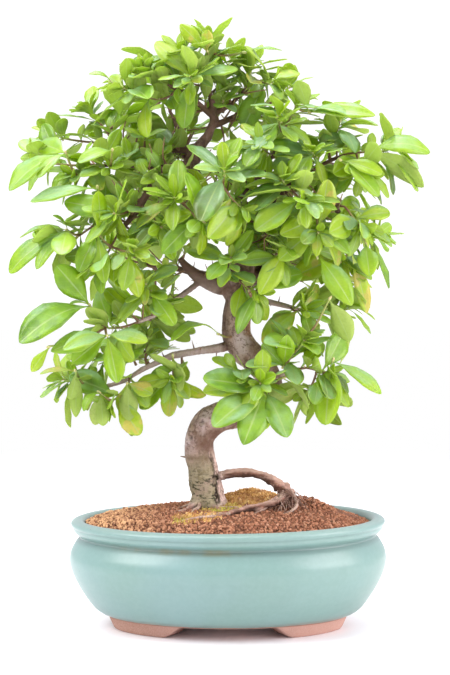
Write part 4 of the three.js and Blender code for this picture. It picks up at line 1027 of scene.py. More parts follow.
def growSpurs(wood):
    random_ = random.Random(spurShape["seed"])
    places, normals = readSurface(wood.data)
    girth = np.empty(len(places))
    wood.data.attributes["girth"].data.foreach_get("value", girth)
    onBranch = (girth < 0.06) & (places[:, 2] > spurShape["above"])
    leafy = onBranch.copy()
    for area in ("bare", "fork"):
        (left, right), height = spurShape[area]
        leafy &= ~((places[:, 0] > left) & (places[:, 0] < right) & (places[:, 2] < height))
    guides = Guides()
    seats = []
    for i in random_.sample(list(np.flatnonzero(leafy)), spurShape["tries"]):
        if len(seats) == spurShape["count"]:
            break
        if all(np.linalg.norm(places[i] - seat) > spurShape["apart"] for seat in seats):
            seats.append(places[i])
            growSpur(guides, places[i], normals[i], random_)
    for i in random_.sample(list(np.flatnonzero(onBranch)), spurShape["thorns"]):
        heading = unit(normals[i] + np.array([0, 0, 0.2]))
        end = places[i] + heading * random_.uniform(*spurShape["thornLength"]) * mm
        guides.addShoot([places[i] - normals[i] * mm, end], [0.75 * mm, 0.1 * mm], [0.15, 0.0])
    guides.addShoot(np.array(spurShape["prickle"]) * mm, [1.0 * mm, 0.3 * mm], [0.15, 0.0])
    for i in random_.sample(list(np.flatnonzero(leafy)), spurShape["twigs"]):
        heading = unit(normals[i] + np.array([random_.uniform(-0.7, 0.7), random_.uniform(-0.7, 0.7), 0.5]))
        length = random_.uniform(*spurShape["twigLength"]) * mm
        bow = np.array([random_.uniform(-0.12, 0.12) for _ in range(3)]) * length
        middle, end = places[i] + heading * length * 0.5 + bow, places[i] + heading * length
        knots = [places[i] - normals[i] * mm, middle, end]
        guides.addShoot(curveThrough(knots, 6), np.linspace(0.95, 0.4, 6) * mm, np.linspace(0.0, 0.4, 6))
    return guides.grow("crown_spurs", leafyFinishes), len(seats)


def growSpur(guides, seat, normal, random_):
    wander = np.array([random_.uniform(-0.4, 0.4) for _ in range(3)])
    heading = unit(0.7 * normal + (0, 0, 0.45) + wander)
    length = random_.uniform(*spurShape["shoot"]) * mm
    tip = seat + heading * length
    shoot = [seat - normal * mm, seat + heading * length / 2, tip]
    guides.addShoot(shoot, [1.2 * mm, 0.95 * mm, 0.75 * mm], [0.0, 0.2, 0.5])
    guides.addBud(tip, heading, 1.3 * mm, 0.8)
    count = random_.randint(*spurShape["leaves"])
    start = random_.uniform(0, 6)
    for k in range(count):
        outward = outwardFrom(heading, start + spiral * k)
        lean = random_.uniform(0.6, 1.6)
        direction = unit(heading + outward * lean + (0, 0, 0.15))
        size = random_.uniform(*spurShape["leafLength"]) * mm * (1 - 0.08 * k)
        up = unit(heading - 0.4 * outward + (0, 0, 0.7))
        bentLeaf(guides, tip - heading * mm * 0.6 * k, direction, up, size, random_, 0.15 * k / count)


# Sprigs at the front of the crown, set leaf by leaf: the seat, then for each leaf its tip, the way its upper
# face looks, the arch in its back, its breadth as a share of its length, and its tone; places in mm
frontSprigs = [
    ((-121, -50, 391), [((-166, -62, 361), (0, -0.6, 0.8), 8, 0.4, 0.35),
        ((-142, -70, 371), (0, -0.5, 0.9), 5, 0.36, 0.5),
        ((-145, -20, 401), (0, -1, 0.3), 2, 0.5, 0.5)]),
    ((-83, -60, 393), [((-109, -75, 383), (0, -0.7, 0.7), 4, 0.42, 0.45)]),
    ((-95, -60, 363), [((-148, -70, 352), (0, -0.5, 0.8), 4, 0.36, 0.35)]),
    ((-119, -60, 329), [((-159, -50, 323), (0, -0.3, 1), 6, 0.32, 0.45),
        ((-167, -55, 295), (-0.3, -0.8, 0.5), 8, 0.33, 0.4),
        ((-143, -75, 298), (-0.4, -0.6, 0.6), 5, 0.38, 0.5),
        ((-130, -70, 341), (0, -0.5, 0.9), 3, 0.45, 0.25),
        ((-121, -100, 310), (0, -0.8, 0.5), 3, 0.46, 0.6)]),
    ((-94, -75, 327), [((-93, -85, 360), (0.5, -0.8, 0.2), 3, 0.42, 0.7),
        ((-109, -80, 296), (-0.2, -1, 0.1), 3, 0.45, 0.35),
        ((-88, -85, 287), (0, -1, 0.2), 3, 0.33, 0.55)]),
    ((-101, -60, 268), [((-127, -75, 301), (0, -1, 0.3), 3, 0.5, 0.3),
        ((-156, -85, 240), (0, -0.75, 0.65), 12, 0.44, 0.2),
        ((-117, -72, 270), (0, -0.2, 1), 3, 0.4, 0.3)]),
    ((-87, -70, 245), [((-131, -85, 233), (0, -0.9, 0.5), 5, 0.4, 0.4),
        ((-120, -100, 235), (0, -0.8, 0.6), 5, 0.34, 0.62),
        ((-115, -75, 223), (-0.2, -1, 0), 3, 0.5, 0.3),
        ((-78, -85, 208), (0.2, -1, 0.2), 4, 0.42, 0.5),
        ((-54, -85, 241), (0, -0.8, 0.7), 4, 0.42, 0.78)]),
    ((-133, -66, 236), [((-149, -60, 215), (0, -0.9, 0.4), 2, 0.38, 0.8)]),
    ((-114, -45, 214), [((-144, -40, 212), (0, -0.4, 0.9), 3, 0.3, 0.93),
        ((-118, -55, 192), (0.3, 0.8, 0.5), 3, 0.5, 0.5),
        ((-114, -50, 177), (0, 0.9, 0.3), 2, 0.3, 0.5)]),
    ((-94, -50, 197), [((-91, -60, 171), (0, 1, 0.2), 2, 0.42, 0.5),
        ((-99, -42, 170), (0, 1, 0.2), 2, 0.45, 0.9),
        ((-107, -60, 183), (0, -0.4, 0.9), 6, 0.4, 0.4)]),
    ((-72, -50, 205), [((-70, -60, 175), (0, 0.9, 0.4), 2, 0.5, 0.8),
        ((-51, -55, 197), (0, -0.9, 0.4), 2, 0.6, 0.92),
        ((-79, -40, 181), (0, -0.9, 0.4), 2, 0.4, 0.9)]),
    ((3, -36, 244), [((-36, -60, 240), (0, -0.15, 1), 12, 0.42, 0.5)]),
    ((36, -58, 281), [((17.5, -70, 246), (-0.6, -0.8, 0.25), 4, 0.38, 0.2)]),
    ((-35, -50, 226), [((-28, -60, 199), (0.5, 0.8, 0.2), 3, 0.42, 0.8)]),
    ((40, -60, 199), [((-10, -80, 211), (0, -0.75, 0.65), 4, 0.44, 0.24),
        ((-2, -95, 174), (-0.2, -0.8, 0.5), 6, 0.44, 0.27),
        ((22, -100, 160), (0, -1, 0.3), 6, 0.44, 0.28),
        ((57, -90, 165), (0.2, -1, 0.3), 5, 0.45, 0.24)]),
    ((55, -55, 219), [((24, -78, 221), (0, -0.6, 0.8), 4, 0.36, 0.6),
        ((37, -70, 238), (-0.2, -0.9, 0.3), 2, 0.45, 0.35),
        ((57, -80, 246), (0.1, -1, 0.2), 2, 0.4, 0.5)]),
    ((124, -52, 393), [((173, -54, 392), (0, -0.85, 0.65), 11, 0.4, 0.5),
        ((169, -44, 364), (0, 0.8, 0.6), 8, 0.36, 0.6)]),
    ((101, -60, 385), [((130, -75, 356), (0.3, -0.8, 0.5), 4, 0.36, 0.45),
        ((133, -70, 374), (0.2, -0.8, 0.5), 3, 0.4, 0.65)]),
    ((75, -45, 425), [((66, -50, 450), (0.4, 0.8, 0.2), 2, 0.6, 0.6),
        ((113, -60, 418), (0, -0.5, 0.9), 8, 0.36, 0.45),
        ((128, -62, 421), (0, -0.8, 0.6), 5, 0.3, 0.6)]),
    ((109, -50, 329), [((143, -50, 316), (0.2, -0.6, 0.8), 6, 0.36, 0.5)]),
    ((121, -55, 319), [((123, -72, 292), (0, -1, 0.2), 2, 0.55, 0.6)]),
    ((82, -60, 309), [((109, -75, 269), (0.2, -1, 0.3), 4, 0.42, 0.5)]),
    ((92, -50, 273), [((109, -50, 239), (0.1, 0.9, 0.5), 3, 0.5, 0.8)]),
    ((95, -50, 223), [((134, -60, 197), (0.2, -0.7, 0.7), 4, 0.3, 0.6),
        ((88, -72, 173), (-0.3, -0.9, 0.3), 4, 0.45, 0.6)]),
    ((83, -60, 209), [((79, -78, 190), (0, -1, 0.2), 2, 0.55, 0.4)]),
    ((54, -60, 210), [((75, -70, 186), (0.3, 0.5, 0.8), 4, 0.36, 0.5)]),
    ((111, -20, 313), [((126, -10, 260), (0.2, -0.8, 0.4), 3, 0.25, 1)]),
    ((-7, -40, 474), [((-7, -46, 491), (0, -1, 0.1), 1, 0.55, 0.94),
        ((-29, -40, 496), (-0.3, -0.8, 0.3), 3, 0.4, 0.9)]),
    ((-60, -40, 453), [((-72, -45, 468), (0, -1, 0.1), 1, 0.5, 0.75)]),
    ((22, -30, 474), [((54, -30, 476), (0, -0.3, 1), 3, 0.3, 0.3)]),
    ((-85, -35, 450), [((-103, -40, 456), (0, -0.5, 0.8), 4, 0.36, 0.55)]),
    ((14, 32, 309), [((11, 28, 286), (0, -1, 0.25), 1, 0.85, 0.93)]),
]


def growFrontSprigs(shootPlaces):
    random_ = random.Random(23)
    guides = Guides()
    for seat, leaves in frontSprigs:
        seat = np.array(seat) * mm
        near = shootPlaces[np.argmin(np.linalg.norm(shootPlaces - seat, axis=1))]
        gap = np.linalg.norm(seat - near)
        middle = (seat + near) / 2 + np.array([0, 0, -0.08]) * gap
        path = curveThrough([near, middle, seat], 10)
        guides.addShoot(path, np.linspace(1.2, 0.8, 10) * mm, np.linspace(0.2, 0.8, 10))
        guides.addBud(seat, unit(seat - near + 1e-6), 1.6 * mm, 1.0)
        for tip, facing, arch, breadth, tone in leaves:
            tip = np.array(tip) * mm
            length = np.linalg.norm(tip - seat)
            along = (tip - seat) / length
            up = unit(np.array(facing) - along * np.dot(facing, along))
            stops = np.linspace(0, 1, 5)
            points = [seat + (tip - seat) * t + up * arch * mm * 4 * t * (1 - t) for t in stops]
            ups = [unit(up - along * arch * mm * 4 * (1 - 2 * t) / length) for t in stops]
            guides.addLeaf(points, stops, ups, length, random_, tone, 0.0, breadth)
    return guides.grow("front_sprigs", leafyFinishes)


# Thin roots: [x, y, height over the soil, radius] in mm from the pot's middle

rootRoutes = [
    [(-22, -6, 6, 2), (-27, -14, 2.4, 1.7), (-34, -19, 1.2, 1.3), (-41, -22, 0.4, 0.9), (-47, -23, -1, 0.6)],
    [(-23, -2, 7, 1.8), (-31, -6, 2.6, 1.4), (-38, -9, 1.1, 1.1), (-45, -12, -0.8, 0.7)],
    [(-20, -9, 5, 1.7), (-14, -16, 1.8, 1.3), (-5, -18, 1.4, 1.1), (6, -19, 1.3, 0.9), (15, -22, -0.8, 0.6)],
    [(-24, -10, 5, 1.8), (-24, -18, 2.2, 1.5), (-28, -25, 1.2, 1.1), (-31, -31, -0.8, 0.7)],
    [(47, -14, 16, 1.5), (43, -19, 10, 1.2), (37, -23, 6, 1.05), (29, -28, 2.2, 0.95), (21, -33, -0.5, 0.7)],
    [(52, -16, 15, 1.7), (56, -19, 8, 1.5), (56, -22, 4, 1.4), (52, -26, 1.2, 1.2), (45, -29, -0.6, 0.8)],
    [(-8, -46, 1.2, 1.5), (-20, -50, 1.4, 1.2), (-32, -53, 1.1, 1.0), (-42, -54, -0.6, 0.6)],
    [(2, -42, 1.4, 1.4), (-8, -40, 1.0, 1.1), (-18, -41, 1.2, 0.9), (-27, -44, -0.5, 0.6)],
]
rootTangle = {"count": 46, "knob": (47, -14, 110), "reach": (6, 24), "radius": (0.22, 0.55), "seed": 12}


def makeRootlets():
    random_ = random.Random(rootTangle["seed"])
    guides = Guides()
    for route in rootRoutes:
        knots = np.array([(x, y, soilHeight(x, y) + lift) for x, y, lift, _ in route]) * mm + potMiddle
        stops = np.arange(len(route), dtype=float)
        fine = np.linspace(0, len(route) - 1, 4 * len(route))
        path = smoothPath(knots, stops, fine)
        path += np.array([[random_.uniform(-0.3, 0.3) * mm for _ in range(3)] for _ in path])
        radii = np.interp(fine, stops, [r * mm for *_, r in route])
        radii = radii * [random_.uniform(0.85, 1.15) for _ in path]
        guides.addShoot(path, radii, fine / fine[-1], random_.uniform(0.4, 1))
    knob = np.array(rootTangle["knob"], float)
    for _ in range(rootTangle["count"]):
        turn = random_.uniform(-3.6, 0.6)
        reach = random_.uniform(*rootTangle["reach"])
        start = knob + [random_.uniform(-5, 6), random_.uniform(-5, 3), random_.uniform(-5, 6)]
        end = knob + [reach * math.cos(turn), reach * math.sin(turn) * 0.8, 0]
        end[2] = soilHeight(end[0], end[1]) - 0.5
        middle = (start + end) / 2 + [random_.uniform(-4, 4), random_.uniform(-4, 3), random_.uniform(1, 7)]
        path = curveThrough([start, middle, end], 9)
        path[1:-1] += [[random_.uniform(-0.6, 0.6) for _ in range(3)] for _ in path[1:-1]]
        radius = random_.uniform(*rootTangle["radius"]) * mm
        tone = random_.random() ** 2
        radii = np.linspace(radius, radius * 0.5, 9)
        guides.addShoot(path * mm + potMiddle, radii, np.linspace(0, 1, 9), tone)
    return guides.grow("thin_roots", dict.fromkeys(leafyFinishes, rootSkin), sides=6)


# Wood

# The trunk's middle line, in mm in the frame of the whole object, with its radius.
trunkLine = np.array([
    (-6, -16, 88, 16.6), (-6.2, -16, 104, 15.8), (-10, -16, 126, 12.9), (-14, -16, 150, 11.8),
    (-12, -16, 161, 12.2), (-5, -16, 170, 12.8), (5, -18, 175, 12.4), (17, -20, 177, 11.6),
    (30, -22, 181, 11), (40, -24, 189, 10.6),
    (45, -25, 199, 10.4), (42, -24, 211, 11), (34, -21, 221, 11.6), (24, -18, 230, 12), (18, -16, 240, 12.2),
    (17, -14, 250, 12.2), (18, -12, 261, 12), (20, -11, 272, 12.8), (18, -10, 283, 14.6), (20, -9, 294, 12.6),
    (22, -8, 306, 11), (20, -7, 319, 10.6), (16, -7, 331, 9.8), (5, -8, 344, 8), (-7, -10, 356, 7),
    (-15, -12, 368, 6.6), (-21, -14, 381, 6.8), (-16, -16, 395, 5), (-2, -18, 419, 3.4), (-6, -20, 460, 1.5),
])
woodShape = {
    "voxel": 1.0 * mm,
    "smoothing": 9,
    "swell": 0.22 * mm,  # what smoothing takes off
    "furrow": 0.75 * mm,
    "lumps": 1.1 * mm,
    "scars": [
        ((-11, -28, 171), 4, 1.4), ((-21, -25, 158), 3.5, 1.2), ((-4, -29, 152), 5, 0.8),
        ((-16, -28, 124), 3, 0.9), ((13, -26, 262), 6, 1.6), ((20, -27, 258), 4, 1.0),
    ],
    "patchDepth": 14,  # half depth of the painted highlights and the stains
    "paintedHighlights": [
        ((23, -28, 236), 10, 11), ((-4, -28, 175), 12, 7), ((-14, -27, 168), 8, 8), ((-23, -21, 157), 7, 14),
        ((36, -34, 218), 7, 9), ((26, -30, 182), 12, 4),
    ],
    "stains": [
        ((-7, -28, 151), 8, 6), ((-1, -30, 161), 6, 5), ((-13, -28, 141), 11, 2), ((-16, -28, 171), 3, 2),
    ],
    # the arched root's gnarled end, its middle in x and z
    "knot": {"middle": (60, 112), "wide": 15, "high": 13, "lumps": 2.4 * mm},
    # how deep the split is pressed in
    "crackShade": 2.0 * mm,
    # heights where the surface changes: where it starts and over how much, downwards if negative
    "round": (0.106, 0.012),
    "furrowed": (0.235, -0.1),
    "roots": (0.14, -0.01),
    "lyingRoots": (0.107, -0.008),
    "split": ((0.096, 0.010), (0.150, -0.012)),
    "torn": ((0.236, 0.01), (0.284, -0.01)),
    "paintedShadeLeft": (0.222, 0.012),
    "dark": (0.258, 0.02),
    # the heavy start of the low limb on the left, [x, y, z, radius]
    "limb": [
        (20, -10, 274, 8), (9, -14, 281, 7.6), (-3, -17, 285, 6.8), (-13, -20, 290, 5.6), (-22, -23, 297, 4),
        (-30, -24, 306, 2.4),
    ],
    "limbSides": 12,
}


def trunkShare(places):
    # For each place: the trunk's radius there, the distance from its middle line, and the way round it.
    finer = curveThrough(trunkLine, 4 * len(trunkLine))
    line = finer[:, :3] * mm
    best = np.full(len(places), 1e9)
    radius = np.zeros(len(places))
    offset = np.zeros((len(places), 3))
    for (a, ra), (b, rb) in zip(zip(line, finer[:, 3]), zip(line[1:], finer[1:, 3])):
        step = b - a
        t = np.clip(((places - a) @ step) / (step @ step), 0, 1)
        away = places - (a + t[:, None] * step)
        distance = np.linalg.norm(away, axis=1)
        nearer = distance < best
        best[nearer] = distance[nearer]
        radius[nearer] = ((1 - t) * ra + t * rb)[nearer] * mm
        offset[nearer] = away[nearer]
    return radius, best, offset


def addLimb(mesh, route):
    # A closed round tube through the route's places.
    path = curveThrough(np.array(route, float) * mm, 4 * len(route))
    sides = woodShape["limbSides"]
    turns = [2 * math.pi * k / sides for k in range(sides)]
    rings = []
    for i, (*place, radius) in enumerate(path):
        ahead = unit((path[min(i + 1, len(path) - 1)] - path[max(i - 1, 0)])[:3])
        side = unit(np.cross(ahead, (0, 1, 0)))
        across = np.cross(ahead, side)
        spokes = (side * math.cos(turn) + across * math.sin(turn) for turn in turns)
        rings.append([mesh.verts.new(np.array(place) + radius * spoke) for spoke in spokes])
    faces = [mesh.faces.new(rings[0]), mesh.faces.new(rings[-1][::-1])]
    for lower, upper in zip(rings, rings[1:]):
        faces += [mesh.faces.new((lower[k], lower[k - 1], upper[k - 1], upper[k])) for k in range(sides)]
    bmesh.ops.recalc_face_normals(mesh, faces=faces)


def share(value, start, width):
    # How far a value has gone past the start, as a share of the width. A negative width counts downwards.
    return np.clip((value - start) / width, 0, 1)


def noiseOver(places, *scale):
    return np.array([noise.noise(Vector(place)) for place in places * scale])


def ovals(places, table, strength):
    # Soft oval patches, each with its middle, half width and half height.
    cover = np.zeros(len(places))
    for middle, wide, high in table:
        gap = (places - np.array(middle) * mm) / (np.array([wide, woodShape["patchDepth"], high]) * mm)
        cover = np.maximum(cover, np.exp(-(gap**2).sum(1)) * strength)
    return cover


def makeWood():
    source = mergedCopy("wood")
    addLimb(source, woodShape["limb"])
    piece = addObject("wood_fine", meshFrom(source, "wood_fine"))
    remesh = piece.modifiers.new("voxels", "REMESH")
    remesh.mode = "VOXEL"
    remesh.voxel_size = woodShape["voxel"]
    smooth = piece.modifiers.new("smooth", "SMOOTH")
    smooth.factor = 0.5
    smooth.iterations = woodShape["smoothing"]
    applyModifiers(piece)
    mesh = piece.data
    places, normals = readSurface(mesh)
    radius, distance, offset = trunkShare(places)
    girth = np.clip(1.6 - distance / np.maximum(radius, 1e-6) / 1.1, 0, 1) * np.clip(radius / (8 * mm), 0, 1)
    # the facets of the trunk are drawn to a round surface
    drawn = np.clip((radius * 0.98 - distance) * 0.8, -1.6 * mm, 1.6 * mm) * share(girth, 0.45, 0.15)
    drawn *= share(places[:, 2], *woodShape["round"])
    places += offset * (drawn / np.maximum(distance, 1e-6))[:, None]
    height = places[:, 2].copy()
    low = share(height, *woodShape["furrowed"])
    spots = places.astype(np.float32).astype(float)
    furrow = noiseOver(spots, 300, 300, 70)
    rootGrain = noiseOver(spots, 60, 330, 330)
    lumps = noiseOver(spots, 75, 75, 75)
    gnarls = noiseOver(spots, 190, 190, 190)
    fine = noiseOver(spots, 420, 420, 420)
    ridges = 1 - 2 * np.abs(furrow)
    grooves = woodShape["furrow"] * (ridges - 0.6) * (0.35 + 0.65 * low)
    push = woodShape["swell"] + girth * (woodShape["lumps"] * lumps + grooves)
    push += 0.22 * mm * fine + (1 - girth) * 0.35 * mm * lumps
    rooty = (1 - girth) * share(height, *woodShape["roots"])
    push += rooty * (0.25 * mm * fine + 1.3 * mm * rootGrain + 0.5 * mm * lumps)
    knot = woodShape["knot"]
    gap = (places[:, [0, 2]] / mm - np.array(knot["middle"])) / np.array([knot["wide"], knot["high"]])
    knotted = rooty * np.exp(-(gap**2).sum(1))
    push += knotted * knot["lumps"] * (np.abs(gnarls) * 2.2 - 0.25 + 0.4 * fine)
    # the ragged split up the right-hand side of the foot, with pale wood beyond it
    turn = np.arctan2(offset[:, 1], offset[:, 0])
    beyond = turn + 0.75 + 0.27 * np.clip((0.126 - height) / 0.017, 0, 1.3) + 0.22 * furrow + 0.18 * fine
    foot, top = woodShape["split"]
    rise = share(height, *foot) * share(height, *top) * (girth > 0.4)
    # painted shade darkens the split, which is also pressed in
    crackShade = np.clip(1.25 - np.abs(beyond) / 0.13, 0, 1) * rise
    push -= crackShade * woodShape["crackShade"]
    split = share(beyond, 0.05, 0.1) * share(beyond, 1.3, -0.35) * rise
    push += split * 0.9 * mm * (ridges - 0.2)
    # the torn bark of the bend above
    foot, top = woodShape["torn"]
    raw = np.clip(1.4 - np.abs(turn + 0.55) / 0.5, 0, 1) * share(height, *foot)
    raw = np.maximum(raw * share(height, *top) * (girth > 0.4), split)
    # the bark darkens higher up the trunk, and painted shade darkens its left side from a little lower down
    paintedShadeSide = np.clip((np.abs(turn + 0.35) - 1.75 + 0.25 * lumps) / 0.45, 0, 1)
    dark = share(height + 0.004 * lumps, *woodShape["dark"])
    shade = np.maximum(share(height, *woodShape["paintedShadeLeft"]) * paintedShadeSide, dark) * 0.95 * (1 - raw)
    # painted highlights in ovals on the bends, and brown stains
    gleam = ovals(places, woodShape["paintedHighlights"], 1 + 0.8 * lumps)
    stain = ovals(places, woodShape["stains"], 1.15 + 0.9 * lumps + 0.7 * fine)
    push -= raw * 0.5 * mm * (1 + 1.5 * furrow)
    # the scars are pressed in, and painted shade darkens their hollows
    for centre, size, depth in woodShape["scars"]:
        gap = np.linalg.norm(places - np.array(centre) * mm, axis=1) / (size * mm)
        push += depth * mm * (np.exp(-((gap - 0.9) ** 2) / 0.12) * 0.55 - np.exp(-(gap**2) / 0.25))
        crackShade = np.maximum(crackShade, 0.65 * np.exp(-(gap**2) / 0.14))
    # painted shade darkens the roots' undersides, more where they lie on the soil, and the creases of the
    # knot; painted light brightens their tops, less where they lie on the soil
    lying = share(height, *woodShape["lyingRoots"])
    crackShade = np.maximum(crackShade, rooty * np.clip(0.12 + 0.35 * lying - normals[:, 2] * 1.6, 0, 0.8))
    crackShade = np.maximum(crackShade, knotted * np.clip(1 - np.abs(gnarls) / 0.09, 0, 0.8))
    gleam = np.maximum(gleam, rooty * np.clip(normals[:, 2] * 1.6 - 0.3, 0, 1) * (1 - 0.8 * lying))
    places += normals * push[:, None]
    mesh.vertices.foreach_set("co", places.ravel())
    looks = {"girth": girth, "crackShade": crackShade, "raw": raw, "shade": shade}
    looks.update({"gleam": np.clip(gleam, 0, 1), "stain": np.clip(stain, 0, 0.85)})
    for name, values in looks.items():
        setAttribute(mesh, name, values)
    coat(mesh, barkSkin)
    return piece


# Pot

potShape = {
    "half": (130.0, 98.0),  # over the lip
    "height": 90.5,
    "underside": 10.0,
    "rise": 1.2,
    "segments": 128,
    "drain": {"radius": 9.0, "x": 52.0, "middle": 14.0, "depth": 20.0},
    "groove": (0.5, 0.9),  # how thick the glaze lies on the last two rings below the groove
}
footShape = {
    "turns": (8, 67),  # degrees from the pot's long axis
    "sections": 30,
    "rise": 10.5,
    "slope": 9.5,  # degrees that the sloping end takes
    "outer": -29.6,
    "inner": -52,
}
# [offset from the lip's edge, height, thick glaze, thin glaze], up the outside, over the lip and down inside
potSwell = [
    (-29.4, 10), (-20.4, 14.6), (-11, 26), (-4.6, 36.6), (-0.3, 46), (2.0, 56), (1.3, 62.4), (-1.9, 69.4),
    (-4.6, 73.4), (-6.1, 74.8),
]
potLip = [
    (-6.5, 75.3, 1, 0), (-6.4, 76.2, 0.8, 0), (-5.4, 77.3, 0.4, 0), (-3.6, 78.8, 0.2, 0), (-2.0, 80.3, 0, 0),
    (-1.1, 81.8, 0, 0.2), (-0.9, 83.0, 0.1, 0), (-0.9, 83.8, 0.4, 0), (-0.5, 84.4, 0.25, 0),
    (0.3, 85.1, 0, 0.2), (0.8, 86.2, 0, 0.1), (0.7, 87.6, 0, 0.2), (0.1, 88.6, 0, 0.5),
    (-1.3, 89.6, 0, 0.8), (-3.4, 90.3, 0, 0.4),
    (-5.6, 90.5, 0, 0.3), (-7.9, 90.1, 0, 0.8),
    (-9.6, 89, 0, 1), (-10.8, 87, 0, 0.4), (-11.5, 84, 0.2, 0), (-11.6, 80, 0.3, 0), (-8.4, 66, 0.3, 0),
    (-8.4, 56, 0.3, 0), (-10.8, 44, 0.3, 0), (-20, 27, 0.3, 0), (-33, 18, 0.3, 0),
]


def ovalPlace(angle, offset, z):
    wide, deep = potShape["half"]
    x = (wide + offset) * math.cos(angle)
    y = (deep + offset) * math.sin(angle)
    lift = potShape["rise"] * (x / wide) * max(0, (z - potShape["underside"]) / potShape["height"])
    return Vector((x, y, z + lift)) * mm + Vector(potMiddle)


def makePot():
    mesh = bmesh.new()
    layers = {name: mesh.verts.layers.float.new(name) for name in ("pool", "thin")}
    body = np.array(potSwell, float)
    reach = distanceAlong(body)
    fine = smoothPath(body, reach, np.linspace(0, reach[-1], 34))
    thick = [0.0] * (len(fine) - 2) + list(potShape["groove"])
    profile = [(*point, pool, 0.0) for point, pool in zip(fine, thick)] + potLip
    segments = potShape["segments"]
    rings = []
    for offset, z, pool, thin in profile:
        ring = []
        for k in range(segments):
            vertex = mesh.verts.new(ovalPlace(2 * math.pi * k / segments, offset, z))
            vertex[layers["pool"]] = pool
            vertex[layers["thin"]] = thin
            ring.append(vertex)
        rings.append(ring)
    joinRings(mesh, rings)
    mesh.faces.new(rings[0][::-1])
    mesh.faces.new(rings[-1])
    piece = addObject("pot_fine", meshFrom(mesh, "pot_fine"))
    others = [(makeDrain(side), "DIFFERENCE") for side in (-1, 1)]
    for start, direction in ((0, 1), (0, -1), (math.pi, 1), (math.pi, -1)):
        others.append((makeFoot(start, direction), "UNION"))
    for other, operation in others:
        boolean = piece.modifiers.new(other.name, "BOOLEAN")
        boolean.operation = operation
        boolean.solver = "EXACT"
        boolean.object = other
    applyModifiers(piece)
    for other, _ in others:
        bpy.data.objects.remove(other)
    coat(piece.data, glazeOverClay)
    return piece


def joinRings(mesh, rings):
    for lower, upper in zip(rings, rings[1:]):
        for k in range(len(lower)):
            j = (k + 1) % len(lower)
            mesh.faces.new((lower[k], lower[j], upper[j], upper[k]))


def makeDrain(side):
    # The round plug that cuts a drainage hole.
    drain = potShape["drain"]
    radius = drain["radius"] * mm
    mesh = bmesh.new()
    depth = drain["depth"] * mm
    bmesh.ops.create_cone(mesh, cap_ends=True, segments=32, radius1=radius, radius2=radius, depth=depth)
    middle = Vector((side * drain["x"] * mm, 0, drain["middle"] * mm)) + Vector(potMiddle)
    bmesh.ops.translate(mesh, verts=mesh.verts, vec=middle)
    return addObject("drain", meshFrom(mesh, "drain"))


def makeFoot(start, direction):
    # A foot follows the pot's base. Its ends slope up and its lower edges are rounded.
    mesh = bmesh.new()
    sections = []
    first, last = footShape["turns"]
    rise, outer, inner = (footShape[label] for label in ("rise", "outer", "inner"))
    for turn in np.linspace(first, last, footShape["sections"]):
        slope = max(0, 1 - min(turn - first, last - turn) / footShape["slope"])
        low = rise * slope**1.35
        edge = min(1.3, max(0.2, rise + 0.1 - low))
        inset = 2.8 * (1 - low / rise)
        face = outer - inset
        outline = [
            (outer + 0.2, 13), (outer - 0.4 * inset, 9), (face + 0.15 * inset, low + edge),
            (face - 0.4, low + 0.3 * edge), (face - 1.4, low), (inner + 1.2, low), (inner, low + edge),
            (inner, 13),
        ]
        angle = start + direction * math.radians(turn)
        sections.append([mesh.verts.new(ovalPlace(angle, offset, z)) for offset, z in outline])
    joinRings(mesh, sections)
    mesh.faces.new(sections[0])
    mesh.faces.new(sections[-1][::-1])
    bmesh.ops.recalc_face_normals(mesh, faces=mesh.faces)
    return addObject("foot", meshFrom(mesh, "foot"))


# Soil

soilShape = {
    "half": (118, 86),
    "bed": (117.6, 85.6),  # as far as granules lie
    "rings": 28,
    "spokes": 84,
    "edge": 86.5,
    "dome": 13.5,
    "hills": [(20, 25, 26, 10.5), (66, 6, 22, 9), (104, 4, 16, -2)],
    "granules": 8200,
    "granuleSize": (0.4, 1.5),  # radius in mm
    "crumbs": 700,
    "crumbSize": (1.1, 2.2),
    "tufts": 30000,
    "tuftSize": (0.5, 1.5),
    "clumps": 9000,
    "clumpSize": (0.6, 2.3),
}


# Where moss grows: x, y, half width and half depth in mm from the pot's middle, and how thick the green is
mossAreas = {
    "green": [((-4, -22, 17, 11), 1), ((-34, -50, 14, 10), 0.8), ((6, -6, 14, 9), 0.7)],
    "yellow": [(20, 22, 32, 26), (-22, -44, 18, 12), (26, 0, 24, 14), (6, 6, 12, 14)],
}


def soilHeight(x, y):
    reach = math.hypot(x / soilShape["half"][0], y / soilShape["half"][1])
    height = soilShape["edge"] + soilShape["dome"] * max(0, 1 - reach**2) ** 0.75
    for cx, cy, spread, lift in soilShape["hills"]:
        height += lift * math.exp(-((x - cx) ** 2 + (y - cy) ** 2) / spread**2)
    return height


def patch(x, y, cx, cy, wide, deep):
    return math.exp(-(((x - cx) / wide) ** 2 + ((y - cy) / deep) ** 2))


def limit(value):
    return max(0, min(1, value))


